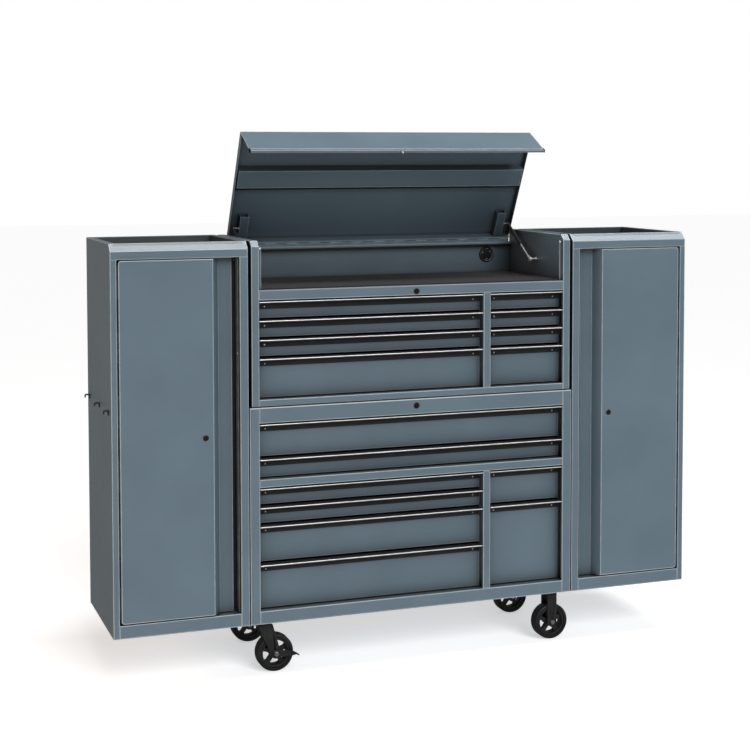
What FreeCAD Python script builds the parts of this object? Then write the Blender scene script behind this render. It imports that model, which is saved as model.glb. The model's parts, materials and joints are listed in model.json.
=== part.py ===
import FreeCAD, Part
import math
import os

from FreeCAD import Vector

# Rolling tool chest: a roll cab on four casters, a top chest with a lift-up lid, and a tall locker bolted to
# each side of the roll cab.  Millimetres, +Z up, drawers facing -Y.
#
# Everything is drawn in a bench frame: x from the middle, y as depth behind the front plane, z as height above
# the underside of the cabinets.  save() then moves it so that the origin is on the floor, in the middle of the
# footprint.

# ---- driving dimensions -------------------------------------------------------------------------------------

DEPTH = 542.0
GROUND_CLEARANCE = 213.0
SHEET = 2.0
THIN_SHEET = 1.5
BEND = 2.5
TIGHT_BEND = 1.5
WIDE_BEND = 4.0

# Roll cab and top chest
CAB_HALF = 708.0
CAB_HEIGHT = 871.0
CHEST_HALF = 698.5
CHEST_TOP = 1533.0
OPENING_HALF = 667.0
RECESS = 40.0
RETURN_DEPTH = 12.0
BEVEL = 29.5
MULLION_LEFT = 300.0
MULLION_RIGHT = 332.0
UPRIGHT_DEPTH = 40.0
UPRIGHT_STARTS = (44.0, 460.0)
PARTITION_START = 46.0

CAB_BASE_RAIL = 51.5
CAB_DIVIDER = (550.0, 582.0)
CAB_HEADER = 808.0
CHEST_BASE_RAIL = 902.0
CHEST_BASE_LIFT = 3.0
CHEST_BASE_SETBACK = 8.0
CHEST_HEADER = 1298.0
CHEST_FLOOR = 1338.0
CHEST_BEVEL = 22.5
CHEST_LEDGE = 1477.0
LEDGE_DEPTH = 31.0
LEDGE_LIP = 12.0
HEM = (655.0, 14.0, 1509.0)
MAT_THICKNESS = 5.0
MAT_FRONT = 18.0
MAT_MARGIN = 3.0
MAT_CORNER = 4.0
GROMMET = (551.5, 1420.0)
GROMMET_FLANGE = 35.0
GROMMET_NECK = 30.8
GROMMET_MOUTH = 27.0

# Drawers: handle tops step down by these pitches, from just under the rail above
DRAWER_PITCH = 76.2
HANDLE_DROP = 5.0
DRAWER_GAP = 7.5
SLIDE_GAP = 13.0
SLIDE_LENGTH = 450.0
SLIDE_START = 46.0
SLIDE_HALF_HEIGHT = 18.0
TRAY_END = 500.0
TRAY_BELOW_HANDLE = 12.0
TRAY_ABOVE_SKIRT = 4.0
HANDLE_WALL = 2.5
HANDLE_NOSE = 8.0
HANDLE_HEIGHT = 28.0
HANDLE_EDGE = 2.0
HANDLE_SHOULDER = 6.0
SIDE_CLEARANCE = 2.0
OUTER_SLIDE_LIP = 9.0
INNER_SLIDE_LIP = -7.5
INNER_SLIDE_HALF_HEIGHT = 13.0

# Lockers
LOCKER_INNER = 712.0
LOCKER_OUTER = 1256.0
LOCKER_TOP = 1533.0
DOORWAY = (746.0, 1231.0)
DOORWAY_HEIGHT = (52.0, 1472.0)
TRAY_DEPTH = 45.0
TRAY_RIM = (45.0, 23.0, 20.0)
GRIP_RETURN = 58.0
DOOR_STOP_EDGE = 768.0
HINGE_RETURN = 40.0
SHELF_START = 64.0
SHELF_LIP = 20.0
SHELF_HEIGHTS = (400.0, 750.0, 1100.0)

# Locker doors
DOOR_EDGE = 1224.5
DOOR_FOLD = (853.0, 824.0)
DOOR_GRIP_EDGE = 769.0
DOOR_CLEARANCE = 4.0
DOOR_CORNER = 12.0
DOOR_ROLL = 3.0
DOOR_HINGE = (1228.0, 2.8)
DOOR_KNUCKLE = 2.6
DOOR_HINGE_PITCH = 117.5

# Lid, as it lies closed; at rest it stands open by LID_OPEN degrees
LID_OPEN = 62.0
LID_HALF = 657.5
LID_TOP = 1537.0
LID_FRONT_FLANGE = 150.0
LID_SIDE_FLANGE = 25.0
LID_HINGE = (513.0, 1495.0)
LID_KNUCKLE = 4.0
LID_HINGE_PITCH = 50.0
LID_HINGE_HALF = 650.0
PULL_HEIGHT = 21.0
STIFFENER = (158.0, 263.0)
STIFFENER_DEPTH = 28.0
BRACKET = (578.0, 616.0)
BRACKET_LENGTH = 120.0
BRACKET_DEPTH = 30.0

# Gas struts
STRUT_X = 638.0
STRUT_FOOT = (262.0, 1414.0)
STRUT_HEAD_CLOSED = (448.0, 1512.0)
STRUT_TUBE = 7.5
STRUT_TUBE_WALL = 1.3
STRUT_TUBE_LENGTH = 165.0
STRUT_ROD = 3.0
STRUT_ROD_LENGTH = 187.0
STRUT_PISTON_LENGTH = 8.0
STRUT_NECK = 4.5
STRUT_EYE = 8.5
STRUT_SOCKET = 7.0
STRUT_STUD = 4.0
STRUT_EYE_HALF = 5.0

# Locks
LOCK_HEIGHTS = (1314.0, 843.0)
DOOR_LOCK = (886.0, 764.0)
LOCK_FLANGE = 12.0
LOCK_BARREL = 9.4
LOCK_PLUG = 6.5

# Casters
WHEEL_RADIUS = 76.0
WHEEL_WIDTH = 50.0
CASTER_X = 641.0
CASTER_DEPTHS = (70.0, 472.0)
CASTER_TRAIL = 47.0
AXLE_RADIUS = 6.0
FORK_GAP = 28.5
FORK_WALL = 4.0
FORK_WIDTH = 43.0
PLATE = (114.0, 100.0, 4.0)
PLATE_BOLTS = (88.0, 74.0)
RACE_RADIUS = 34.0
RACE_DEPTH = 12.0
KINGPIN = 8.0

# Fits
RUNNING = 0.05
CLEAR = 0.4

# Side hooks and accessory holes on the left locker
HOOK_DEPTHS = (59.0, 265.0, 495.0)
HOOK_HEIGHT = 879.0
ACCESSORY_HOLES = (89.0, 491.0)
ACCESSORY_HEIGHT = 827.0
ACCESSORY_RADIUS = 4.0


# ---- building blocks ----------------------------------------------------------------------------------------

def block(x, y, z):
    size = [high - low for low, high in (x, y, z)]
    return Part.makeBox(*size, Vector(x[0], y[0], z[0]))


def pin(radius, start, end):
    start = Vector(*start)
    run = Vector(*end) - start
    return Part.makeCylinder(radius, run.Length, start, run)


def prism(points, direction):
    """The closed outline through the points, swept along a vector."""
    corners = [Vector(*p) for p in points]
    return Part.Face(Part.makePolygon(corners + corners[:1])).extrude(Vector(*direction))


def side_profile(points, x):
    """A (y, z) outline swept from x[0] to x[1]."""
    return prism([(x[0], y, z) for y, z in points], (x[1] - x[0], 0, 0))


def join(*shapes):
    return shapes[0].fuse(list(shapes[1:])).removeSplitter()


def mirrored(shape):
    return shape.mirror(Vector(0, 0, 0), Vector(1, 0, 0))


def both_sides(shape):
    return [shape, mirrored(shape)]


def on(value, *levels):
    """Whether a coordinate lies at one of the levels."""
    return any(abs(value - level) < 0.01 for level in levels)


def rounded(shape, radius, wanted):
    """Rounds the edges whose midpoint and direction satisfy a test."""
    edges = []
    for edge in shape.Edges:
        middle = edge.valueAt((edge.FirstParameter + edge.LastParameter) / 2)
        along = edge.tangentAt((edge.FirstParameter + edge.LastParameter) / 2)
        if wanted(middle, along):
            edges.append(edge)
    return shape.makeFillet(radius, edges)


def save(name, *solids):
    group = solids[0] if len(solids) == 1 else Part.makeCompound(list(solids))
    group = group.copy()
    group.translate(Vector(0, -DEPTH / 2, GROUND_CLEARANCE))
    group.exportStep(os.path.join("parts", name + ".step"))


# ---- folded sheet sections ----------------------------------------------------------------------------------

def rail(x, z, lips):
    """A horizontal face-frame rail: a front face with rearward lips on the edges named in lips."""
    parts = [block(x, (0, SHEET), z)]
    if "bottom" in lips:
        parts.append(block(x, (SHEET, RECESS), (z[0], z[0] + SHEET)))
    if "top" in lips:
        parts.append(block(x, (SHEET, RECESS), (z[1] - SHEET, z[1])))
    bends = [z[0]] * ("bottom" in lips) + [z[1]] * ("top" in lips)
    return rounded(join(*parts), BEND, lambda p, t: on(p.y, 0) and on(p.z, *bends) and abs(t.x) > 0.9)


def mullion(y, z):
    """A channel between two drawer columns, open to the rear: a front face with a wall along each side."""
    left = block((MULLION_LEFT, MULLION_LEFT + SHEET), y, z)
    right = block((MULLION_RIGHT - SHEET, MULLION_RIGHT), y, z)
    face = block((MULLION_LEFT + SHEET, MULLION_RIGHT - SHEET), (y[0], y[0] + SHEET), z)
    channel = join(left, face, right)
    sides = (MULLION_LEFT, MULLION_RIGHT)
    return rounded(channel, BEND, lambda p, t: on(p.y, y[0]) and on(p.x, *sides) and abs(t.z) > 0.9)


def mullion_pair(face_z, wall_z):
    """The shallow channel seen between the drawers, and the deep one behind it that carries their slides."""
    return [mullion((0, RETURN_DEPTH), face_z), mullion((PARTITION_START, DEPTH - SHEET), wall_z)]


def upright(wall, start, z):
    """A channel that carries the slides, from the plane of the opening out to the side wall."""
    end = start + UPRIGHT_DEPTH
    web = block((OPENING_HALF, OPENING_HALF + SHEET), (start, end), z)
    front = block((OPENING_HALF + SHEET, wall), (start, start + SHEET), z)
    rear = block((OPENING_HALF + SHEET, wall), (end - SHEET, end), z)
    return join(web, front, rear)


def uprights(wall, z):
    solids = []
    for start in UPRIGHT_STARTS:
        solids += both_sides(upright(wall, start, z))
    return solids


# ---- locks --------------------------------------------------------------------------------------------------

def lock_hole(x, z):
    return pin(LOCK_BARREL + 0.1, (x, -1, z), (x, SHEET + 1, z))


def lock_housing(x, z):
    flange = pin(LOCK_FLANGE, (x, -2.5, z), (x, 0, z))
    flange = rounded(flange, 1.2, lambda p, t: p.y < -2.4)
    barrel = pin(LOCK_BARREL, (x, 0, z), (x, 24, z))
    bore = pin(LOCK_PLUG + RUNNING, (x, -3, z), (x, 25, z))
    return join(flange, barrel).cut(bore)


def lock_plug(x, z):
    """The turning plug with its keyway, and the cam on its inner end."""
    plug = pin(LOCK_PLUG, (x, -1.8, z), (x, 26, z))
    keyway = block((x - 0.8, x + 0.8), (-3, 8), (z - 4, z + 4))
    cam = block((x - 13, x + 5), (24.4, 26.4), (z - 5, z + 5))
    return join(plug.cut(keyway), cam)


# ---- roll cab -----------------------------------------------------------------------------------------------

def cab_joint_holes():
    holes = []
    for y, z in JOINING_POINTS:
        holes += both_sides(pin(4.2, (CAB_HALF - 4, y, z), (LOCKER_INNER + 4, y, z)))
    return holes


JOINING_POINTS = [(y, z) for y in (110.0, 430.0) for z in (160.0, 700.0)]


def caster_places():
    return [(side * CASTER_X, depth) for side in (-1, 1) for depth in CASTER_DEPTHS]


def plate_bolt_places(x, y):
    half_x, half_y = PLATE_BOLTS[0] / 2, PLATE_BOLTS[1] / 2
    return [(x + i * half_x, y + j * half_y) for i in (-1, 1) for j in (-1, 1)]


def caster_bolt_holes():
    holes = []
    for place in caster_places():
        for x, y in plate_bolt_places(*place):
            holes.append(pin(4.2, (x, y, -PLATE[2] - 1), (x, y, SHEET + 1)))
    return holes


def roll_cab_shell():
    wall = CAB_HALF - SHEET
    inner_z = (SHEET, CAB_HEIGHT - SHEET)
    side = join(
        block((wall, CAB_HALF), (0, DEPTH), (0, CAB_HEIGHT)),
        block((OPENING_HALF, wall), (0, SHEET), inner_z),
        block((OPENING_HALF, OPENING_HALF + SHEET), (SHEET, RETURN_DEPTH), inner_z),
    )
    side = side.cut([hole for hole in cab_joint_holes() if hole.BoundBox.XMin > 0])
    faces = (CAB_HALF, OPENING_HALF)
    side = rounded(side, BEND, lambda p, t: on(p.y, 0) and on(p.x, *faces) and abs(t.z) > 0.9)
    rail_x = (-OPENING_HALF, OPENING_HALF)
    base = block((-wall, wall), (0, DEPTH - SHEET), (0, SHEET)).cut(caster_bolt_holes())
    base_rail = rail(rail_x, (SHEET, CAB_BASE_RAIL), ["top"])
    top = block((-wall, wall), (0, DEPTH - SHEET), (CAB_HEIGHT - SHEET, CAB_HEIGHT))
    header = rail(rail_x, (CAB_HEADER, CAB_HEIGHT - SHEET), ["bottom"]).cut(lock_hole(0, LOCK_HEIGHTS[1]))
    back = block((-wall, wall), (DEPTH - SHEET, DEPTH), (0, CAB_HEIGHT))
    divider = rail(rail_x, CAB_DIVIDER, ["top", "bottom"])
    middle = mullion_pair((CAB_BASE_RAIL, CAB_DIVIDER[0]), (SHEET, CAB_DIVIDER[0]))
    sheets = [base, base_rail, top, header, back, divider]
    return both_sides(side) + sheets + middle + uprights(wall, inner_z)


# ---- top chest ----------------------------------------------------------------------------------------------

def chest_side():
    """The double-walled side with a bevelled cap, open inwards beside the drawers."""
    outer = [
        (0, CAB_HEIGHT),
        (0, CHEST_TOP - CHEST_BEVEL),
        (CHEST_BEVEL, CHEST_TOP),
        (DEPTH, CHEST_TOP),
        (DEPTH, CAB_HEIGHT),
    ]
    run = SHEET * math.tan(math.radians(22.5))
    inner = [
        (SHEET, CAB_HEIGHT - 1),
        (SHEET, CHEST_TOP - CHEST_BEVEL - run),
        (CHEST_BEVEL + run, CHEST_TOP - SHEET),
        (DEPTH - SHEET, CHEST_TOP - SHEET),
        (DEPTH - SHEET, CAB_HEIGHT - 1),
    ]
    shell = side_profile(outer, (OPENING_HALF, CHEST_HALF))
    faces = (OPENING_HALF, CHEST_HALF)
    shell = rounded(
        shell,
        BEND,
        lambda p, t: on(p.x, *faces) and abs(t.x) < 0.1 and p.y < DEPTH - 1 and p.z > CAB_HEIGHT + 1,
    )
    hollow = side_profile(inner, (OPENING_HALF + SHEET, CHEST_HALF - SHEET))
    drawer_side = block(
        (OPENING_HALF - 1, OPENING_HALF + SHEET + 1),
        (RETURN_DEPTH, DEPTH - SHEET),
        (CAB_HEIGHT - 1, CHEST_FLOOR - SHEET),
    )
    return shell.cut([hollow, drawer_side])


def chest_hem():
    """The narrow stop strip beside the lid's mouth, just behind the closed lid's front flange."""
    return block((HEM[0], OPENING_HALF), (HEM[1], HEM[1] + SHEET), (CHEST_FLOOR, HEM[2]))


def grommet_hole():
    x, z = GROMMET
    return pin(GROMMET_NECK + 0.2, (x, DEPTH - SHEET - 1, z), (x, DEPTH + 1, z))


def top_chest_shell():
    across = (-OPENING_HALF, OPENING_HALF)
    underside = CAB_HEIGHT + CHEST_BASE_LIFT
    base = block(across, (CHEST_BASE_SETBACK, DEPTH - SHEET), (CAB_HEIGHT, underside))
    base_rail = join(
        rail(across, (underside, CHEST_BASE_RAIL), ["top"]),
        block(across, (SHEET, CHEST_BASE_SETBACK + SHEET), (underside, underside + SHEET)),
    )
    floor = block(across, (0, DEPTH - SHEET), (CHEST_FLOOR - SHEET, CHEST_FLOOR))
    header = rail(across, (CHEST_HEADER, CHEST_FLOOR - SHEET), ["bottom"]).cut(lock_hole(0, LOCK_HEIGHTS[0]))
    ledge_start = DEPTH - LEDGE_DEPTH
    back = block(across, (DEPTH - SHEET, DEPTH), (CAB_HEIGHT, CHEST_LEDGE)).cut(grommet_hole())
    ledge = join(
        block(across, (ledge_start, DEPTH - SHEET), (CHEST_LEDGE - SHEET, CHEST_LEDGE)),
        block(across, (ledge_start, ledge_start + SHEET), (CHEST_LEDGE - LEDGE_LIP, CHEST_LEDGE - SHEET)),
    )
    middle = mullion_pair((CHEST_BASE_RAIL, CHEST_HEADER), (underside, CHEST_HEADER))
    sides = both_sides(chest_side()) + both_sides(chest_hem())
    sheets = [base, base_rail, floor, header, back, ledge]
    return sides + sheets + middle + uprights(CHEST_HALF - SHEET, (CAB_HEIGHT, CHEST_FLOOR - SHEET))


def chest_mat():
    half = OPENING_HALF - MAT_MARGIN
    mat = block(
        (-half, half), (MAT_FRONT, DEPTH - SHEET - MAT_MARGIN), (CHEST_FLOOR, CHEST_FLOOR + MAT_THICKNESS)
    )
    return rounded(mat, MAT_CORNER, lambda p, t: abs(t.z) > 0.9)


def cable_grommet():
    x, z = GROMMET
    face = DEPTH - SHEET
    ring = join(
        pin(GROMMET_FLANGE, (x, face - 3, z), (x, face, z)),
        pin(GROMMET_NECK, (x, face, z), (x, DEPTH, z)),
    ).cut(pin(GROMMET_MOUTH, (x, face - 4, z), (x, DEPTH + 1, z)))
    cap = pin(GROMMET_MOUTH, (x, face - 4, z), (x, face - 1, z))
    return [ring, cap]


# ---- drawers and slides -------------------------------------------------------------------------------------

LEFT_COLUMN = (-OPENING_HALF, MULLION_LEFT)
RIGHT_COLUMN = (MULLION_RIGHT, OPENING_HALF)
FULL_WIDTH = (-OPENING_HALF, OPENING_HALF)

DRAWER_STACKS = [
    ("roll_cab_wide_drawer", FULL_WIDTH, (CAB_DIVIDER[1], CAB_HEADER), (140.5,)),
    ("roll_cab_left_drawer", LEFT_COLUMN, (CAB_BASE_RAIL, CAB_DIVIDER[0]), (DRAWER_PITCH, DRAWER_PITCH, 155.5)),
    ("roll_cab_right_drawer", RIGHT_COLUMN, (CAB_BASE_RAIL, CAB_DIVIDER[0]), (149.5,)),
    ("top_chest_left_drawer", LEFT_COLUMN, (CHEST_BASE_RAIL, CHEST_HEADER), (DRAWER_PITCH,) * 3),
    ("top_chest_right_drawer", RIGHT_COLUMN, (CHEST_BASE_RAIL, CHEST_HEADER), (DRAWER_PITCH,) * 3),
]


def drawer_fronts(opening, pitches):
    """The (bottom, top) heights of each drawer front in a stack, from the top down."""
    tops = [opening[1] - HANDLE_DROP]
    for pitch in pitches:
        tops.append(tops[-1] - pitch)
    bottoms = [top + DRAWER_GAP for top in tops[1:]] + [opening[0] + DRAWER_GAP / 2]
    return list(zip(bottoms, tops))


def slide_height(front):
    low, high = front
    return (low + TRAY_ABOVE_SKIRT + high - TRAY_BELOW_HANDLE) / 2


def slide_member(plane, facing, offset, half_height, lip, height, length):
    """One slide channel: its web stands offset from the plane of the opening, and its lips run along facing."""
    web_far = offset + (THIN_SHEET if lip > 0 else -THIN_SHEET)
    lip_far = web_far + lip

    def across(a, b):
        return tuple(sorted((plane + facing * a, plane + facing * b)))

    web = block(across(offset, web_far), length, (height - half_height, height + half_height))
    upper = block(across(web_far, lip_far), length, (height + half_height - THIN_SHEET, height + half_height))
    lower = block(across(web_far, lip_far), length, (height - half_height, height - half_height + THIN_SHEET))
    return join(web, upper, lower)


def outer_slides(column, front):
    height = slide_height(front)
    length = (SLIDE_START, SLIDE_START + SLIDE_LENGTH)
    return [
        slide_member(side, facing, 0, SLIDE_HALF_HEIGHT, OUTER_SLIDE_LIP, height, length)
        for side, facing in zip(column, (1, -1))
    ]


def inner_slides(column, front):
    height = slide_height(front)
    length = (SLIDE_START, SLIDE_START + SLIDE_LENGTH)
    return [
        slide_member(side, facing, SLIDE_GAP, INNER_SLIDE_HALF_HEIGHT, INNER_SLIDE_LIP, height, length)
        for side, facing in zip(column, (1, -1))
    ]


def drawer_handle(x, top):
    """The full-width pull: a flat top, a rolled nose and a back wall that the fingers reach behind."""
    outline = [
        (0, top),
        (RECESS, top),
        (RECESS, top - HANDLE_HEIGHT),
        (RECESS - HANDLE_WALL, top - HANDLE_HEIGHT),
        (RECESS - HANDLE_WALL, top - HANDLE_WALL),
        (HANDLE_WALL, top - HANDLE_WALL),
        (HANDLE_WALL, top - HANDLE_NOSE),
        (0, top - HANDLE_NOSE),
    ]
    pull = side_profile(outline, x)
    pull = rounded(pull, HANDLE_EDGE, lambda p, t: abs(t.x) > 0.9 and p.y < 0.1 and p.z > top - 1)
    behind = RECESS - HANDLE_WALL
    return rounded(pull, HANDLE_SHOULDER, lambda p, t: abs(t.x) > 0.9 and on(p.y, behind) and p.z > top - 4)


def drawer(column, front):
    low, high = front
    x = (column[0] + SIDE_CLEARANCE, column[1] - SIDE_CLEARANCE)
    tray_x = (column[0] + SLIDE_GAP, column[1] - SLIDE_GAP)
    tray_z = (low + TRAY_ABOVE_SKIRT, high - TRAY_BELOW_HANDLE)
    inside = RECESS + THIN_SHEET
    wall_z = (tray_z[0] + THIN_SHEET, tray_z[1])
    wall_y = (inside, TRAY_END - THIN_SHEET)
    return [
        block(x, (RECESS, inside), (low, high)),
        block(tray_x, (inside, TRAY_END), (tray_z[0], tray_z[0] + THIN_SHEET)),
        block((tray_x[0], tray_x[0] + THIN_SHEET), wall_y, wall_z),
        block((tray_x[1] - THIN_SHEET, tray_x[1]), wall_y, wall_z),
        block(tray_x, (TRAY_END - THIN_SHEET, TRAY_END), wall_z),
        drawer_handle(x, high),
    ] + inner_slides(column, front)


# ---- lockers ------------------------------------------------------------------------------------------------

def locker_wall(x):
    """A flat side wall whose front top corner follows the bevel."""
    outline = [(0, 0), (0, LOCKER_TOP - BEVEL), (BEVEL, LOCKER_TOP), (DEPTH, LOCKER_TOP), (DEPTH, 0)]
    return side_profile(outline, x)


def post(wall_x, return_x, depth, z):
    """The front face and rearward return of a door post."""
    face = block((min(wall_x, return_x[0]), max(wall_x, return_x[1])), (0, SHEET), z)
    lip = block(return_x, (SHEET, depth), z)
    return join(face, lip)


def fold_post(wall, outer_x, return_x):
    """Rounds the bends of a wall with its post: tight along the wall's front, wider at the doorway."""
    wall = rounded(
        wall,
        TIGHT_BEND,
        lambda p, t: on(p.x, outer_x) and abs(t.x) < 0.1 and p.y < BEVEL + 1 and p.z > 1 and abs(t.y) < 0.99,
    )
    return rounded(wall, BEND, lambda p, t: on(p.x, return_x) and on(p.y, 0) and abs(t.z) > 0.9)


def locker_header():
    """The bent sheet above the door: a face, the bevel, a narrow top and the front wall of the tray."""
    rim = TRAY_RIM[0]
    floor = LOCKER_TOP - TRAY_DEPTH
    run = SHEET * math.tan(math.radians(22.5))
    outline = [
        (0, DOORWAY_HEIGHT[1]),
        (0, LOCKER_TOP - BEVEL),
        (BEVEL, LOCKER_TOP),
        (rim, LOCKER_TOP),
        (rim, floor - SHEET),
        (rim - SHEET, floor - SHEET),
        (rim - SHEET, LOCKER_TOP - SHEET),
        (BEVEL + run, LOCKER_TOP - SHEET),
        (SHEET, LOCKER_TOP - BEVEL - run),
        (SHEET, DOORWAY_HEIGHT[1]),
    ]
    header = side_profile(outline, (LOCKER_INNER + SHEET, LOCKER_OUTER - SHEET))
    header = rounded(
        header,
        WIDE_BEND,
        lambda p, t: abs(t.x) > 0.9
        and ((on(p.y, 0) and on(p.z, LOCKER_TOP - BEVEL)) or (on(p.y, BEVEL) and on(p.z, LOCKER_TOP))),
    )
    return rounded(header, TIGHT_BEND, lambda p, t: abs(t.x) > 0.9 and on(p.y, rim) and on(p.z, LOCKER_TOP))


def tray_rims():
    """The inverted channels around the other three sides of the tray on top."""
    front, side, rear = TRAY_RIM
    floor = LOCKER_TOP - TRAY_DEPTH
    left, right = LOCKER_INNER + SHEET, LOCKER_OUTER - SHEET
    y = (front, DEPTH - SHEET)
    top = (LOCKER_TOP - SHEET, LOCKER_TOP)
    wall = (floor - SHEET, LOCKER_TOP - SHEET)
    inner_rim = join(block((left, left + side), y, top), block((left + side - SHEET, left + side), y, wall))
    outer_rim = join(block((right - side, right), y, top), block((right - side, right - side + SHEET), y, wall))
    across = (left + side, right - side)
    rear_rim = join(
        block(across, (DEPTH - SHEET - rear, DEPTH - SHEET), top),
        block(across, (DEPTH - SHEET - rear, DEPTH - rear), wall),
    )
    return [inner_rim, outer_rim, rear_rim]


def locker_shell():
    left, right = LOCKER_INNER + SHEET, LOCKER_OUTER - SHEET
    post_z = (SHEET, DOORWAY_HEIGHT[1])
    inner_wall = join(
        locker_wall((LOCKER_INNER, left)),
        post(left, (DOORWAY[0] - SHEET, DOORWAY[0]), GRIP_RETURN, post_z),
    ).cut([hole for hole in cab_joint_holes() if hole.BoundBox.XMin > 0])
    inner_wall = fold_post(inner_wall, LOCKER_INNER, DOORWAY[0])
    door_stop = block((DOORWAY[0], DOOR_STOP_EDGE), (GRIP_RETURN - SHEET, GRIP_RETURN), post_z)
    outer_wall = join(
        locker_wall((right, LOCKER_OUTER)),
        post(right, (DOORWAY[1], DOORWAY[1] + SHEET), HINGE_RETURN, post_z),
    )
    outer_wall = fold_post(outer_wall, LOCKER_OUTER, DOORWAY[1])
    base = block((left, right), (0, DEPTH - SHEET), (0, SHEET))
    base_rail = rail(DOORWAY, (SHEET, DOORWAY_HEIGHT[0]), ["top"])
    front_rim, side_rim, rear_rim = TRAY_RIM
    tray_floor = block(
        (left + side_rim, right - side_rim),
        (front_rim, DEPTH - SHEET - rear_rim),
        (LOCKER_TOP - TRAY_DEPTH - SHEET, LOCKER_TOP - TRAY_DEPTH),
    )
    back = block((left, right), (DEPTH - SHEET, DEPTH), (0, LOCKER_TOP))
    sheets = [inner_wall, outer_wall, door_stop, base, base_rail, tray_floor, back, locker_header()]
    return sheets + tray_rims()


def accessory_holes():
    outside, inside = -LOCKER_OUTER - 1, -LOCKER_OUTER + SHEET + 1
    z = ACCESSORY_HEIGHT
    return [pin(ACCESSORY_RADIUS, (outside, y, z), (inside, y, z)) for y in ACCESSORY_HOLES]


def left_locker_shell():
    solids = [mirrored(solid) for solid in locker_shell()]
    solids[1] = solids[1].cut(accessory_holes())
    return solids


def locker_shelf(height):
    x = (LOCKER_INNER + SHEET + 1, LOCKER_OUTER - SHEET - 1)
    y = (SHELF_START, DEPTH - SHEET - 2)
    plate = block(x, y, (height, height + THIN_SHEET))
    lip = block(x, (y[0], y[0] + THIN_SHEET), (height - SHELF_LIP, height))
    return join(plate, lip)


def locker_shelves():
    solids = []
    for height in SHELF_HEIGHTS:
        solids += both_sides(locker_shelf(height))
    return solids


# ---- locker doors -------------------------------------------------------------------------------------------

def door_outline(inset):
    """The hollow of the door in plan: flat panel, slanted grip face, and the plane of the cover."""
    slope = math.atan2(RECESS, DOOR_FOLD[0] - DOOR_FOLD[1])
    fold = DOOR_FOLD[0] + inset / math.sin(slope) - inset / math.tan(slope)
    foot = DOOR_FOLD[1] + inset / math.sin(slope)
    return [(DOOR_EDGE - inset, inset), (fold, inset), (foot, RECESS), (DOOR_EDGE - inset, RECESS)]


def door_pan():
    low, high = DOORWAY_HEIGHT[0] + DOOR_CLEARANCE, DOORWAY_HEIGHT[1] - DOOR_CLEARANCE
    body = prism([(x, y, low) for x, y in door_outline(0)], (0, 0, high - low))
    body = rounded(body, DOOR_CORNER, lambda p, t: abs(t.y) > 0.9 and p.x > DOOR_EDGE - 1)
    body = rounded(body, DOOR_ROLL, lambda p, t: abs(p.y) < 0.01 and p.x > DOOR_FOLD[0] + 1)
    hollow_low, hollow_high = low + THIN_SHEET, high - THIN_SHEET
    hollow = prism([(x, y, hollow_low) for x, y in door_outline(THIN_SHEET)], (0, 0, hollow_high - hollow_low))
    hollow = rounded(
        hollow, DOOR_CORNER - THIN_SHEET, lambda p, t: abs(t.y) > 0.9 and p.x > DOOR_EDGE - THIN_SHEET - 1
    )
    return body.cut([hollow, lock_hole(*DOOR_LOCK)])


def door_cover():
    low, high = DOORWAY_HEIGHT[0] + DOOR_CLEARANCE, DOORWAY_HEIGHT[1] - DOOR_CLEARANCE
    cover = block((DOOR_GRIP_EDGE, DOOR_EDGE), (RECESS, RECESS + THIN_SHEET), (low, high))
    return rounded(cover, DOOR_CORNER, lambda p, t: abs(t.y) > 0.9 and p.x > DOOR_EDGE - 1)


def hinge_stretches(start, end, pitch):
    """Splits a hinge's length into knuckles: alternate stretches go to the fixed and the moving leaf."""
    count = int((end - start) // pitch)
    step = (end - start) / count
    edges = [start + i * step for i in range(count + 1)]
    gap = 0.25
    stretches = [(a + gap, b - gap) for a, b in zip(edges, edges[1:])]
    return stretches[0::2], stretches[1::2]


def door_hinge():
    """The piano hinge of the right door: fixed leaf on the post, moving leaf on the door's edge, one pin."""
    x, y = DOOR_HINGE
    low, high = DOORWAY_HEIGHT[0] + 24, DOORWAY_HEIGHT[1] - 24
    fixed_runs, moving_runs = hinge_stretches(low, high, DOOR_HINGE_PITCH)
    leaf_y = (y + 0.5, 30.0)
    fixed = block((DOORWAY[1] - 1.3, DOORWAY[1]), leaf_y, (low, high))
    moving = block((DOOR_EDGE, DOOR_EDGE + THIN_SHEET), leaf_y, (low, high))
    reach = DOOR_KNUCKLE + CLEAR

    def knuckles(runs, radius, spare=0.0):
        return [pin(radius, (x, y, a - spare), (x, y, b + spare)) for a, b in runs]

    fixed = fixed.cut(knuckles(moving_runs, reach, CLEAR))
    moving = moving.cut(knuckles(fixed_runs, reach, CLEAR))
    bore = pin(1.2, (x, y, low - 1), (x, y, high + 1))
    loose_bore = pin(1.2 + RUNNING, (x, y, low - 1), (x, y, high + 1))
    fixed = join(fixed, *knuckles(fixed_runs, DOOR_KNUCKLE)).cut(bore)
    moving = join(moving, *knuckles(moving_runs, DOOR_KNUCKLE)).cut(loose_bore)
    hinge_pin = pin(1.2, (x, y, low), (x, y, high))
    return [fixed, hinge_pin], moving


# ---- lid ----------------------------------------------------------------------------------------------------

def opened(shape):
    """Turns a piece of the closed lid to where it stands at rest."""
    turned = shape.copy()
    turned.rotate(Vector(0, *LID_HINGE), Vector(1, 0, 0), -LID_OPEN)
    return turned


def lid_panel():
    end = LID_HINGE[0] - THIN_SHEET / 2
    top = (LID_TOP - THIN_SHEET, LID_TOP)
    x = (-LID_HALF, LID_HALF)
    front = block(x, (0, THIN_SHEET), (LID_TOP - LID_FRONT_FLANGE, LID_TOP))
    rear = block(x, (end - THIN_SHEET, end), (LID_HINGE[1] + LID_KNUCKLE + CLEAR, LID_TOP))
    side = block((LID_HALF - THIN_SHEET, LID_HALF), (0, end), (LID_TOP - LID_SIDE_FLANGE, LID_TOP))
    return join(block(x, (0, end), top), front, rear, *both_sides(side))


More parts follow.
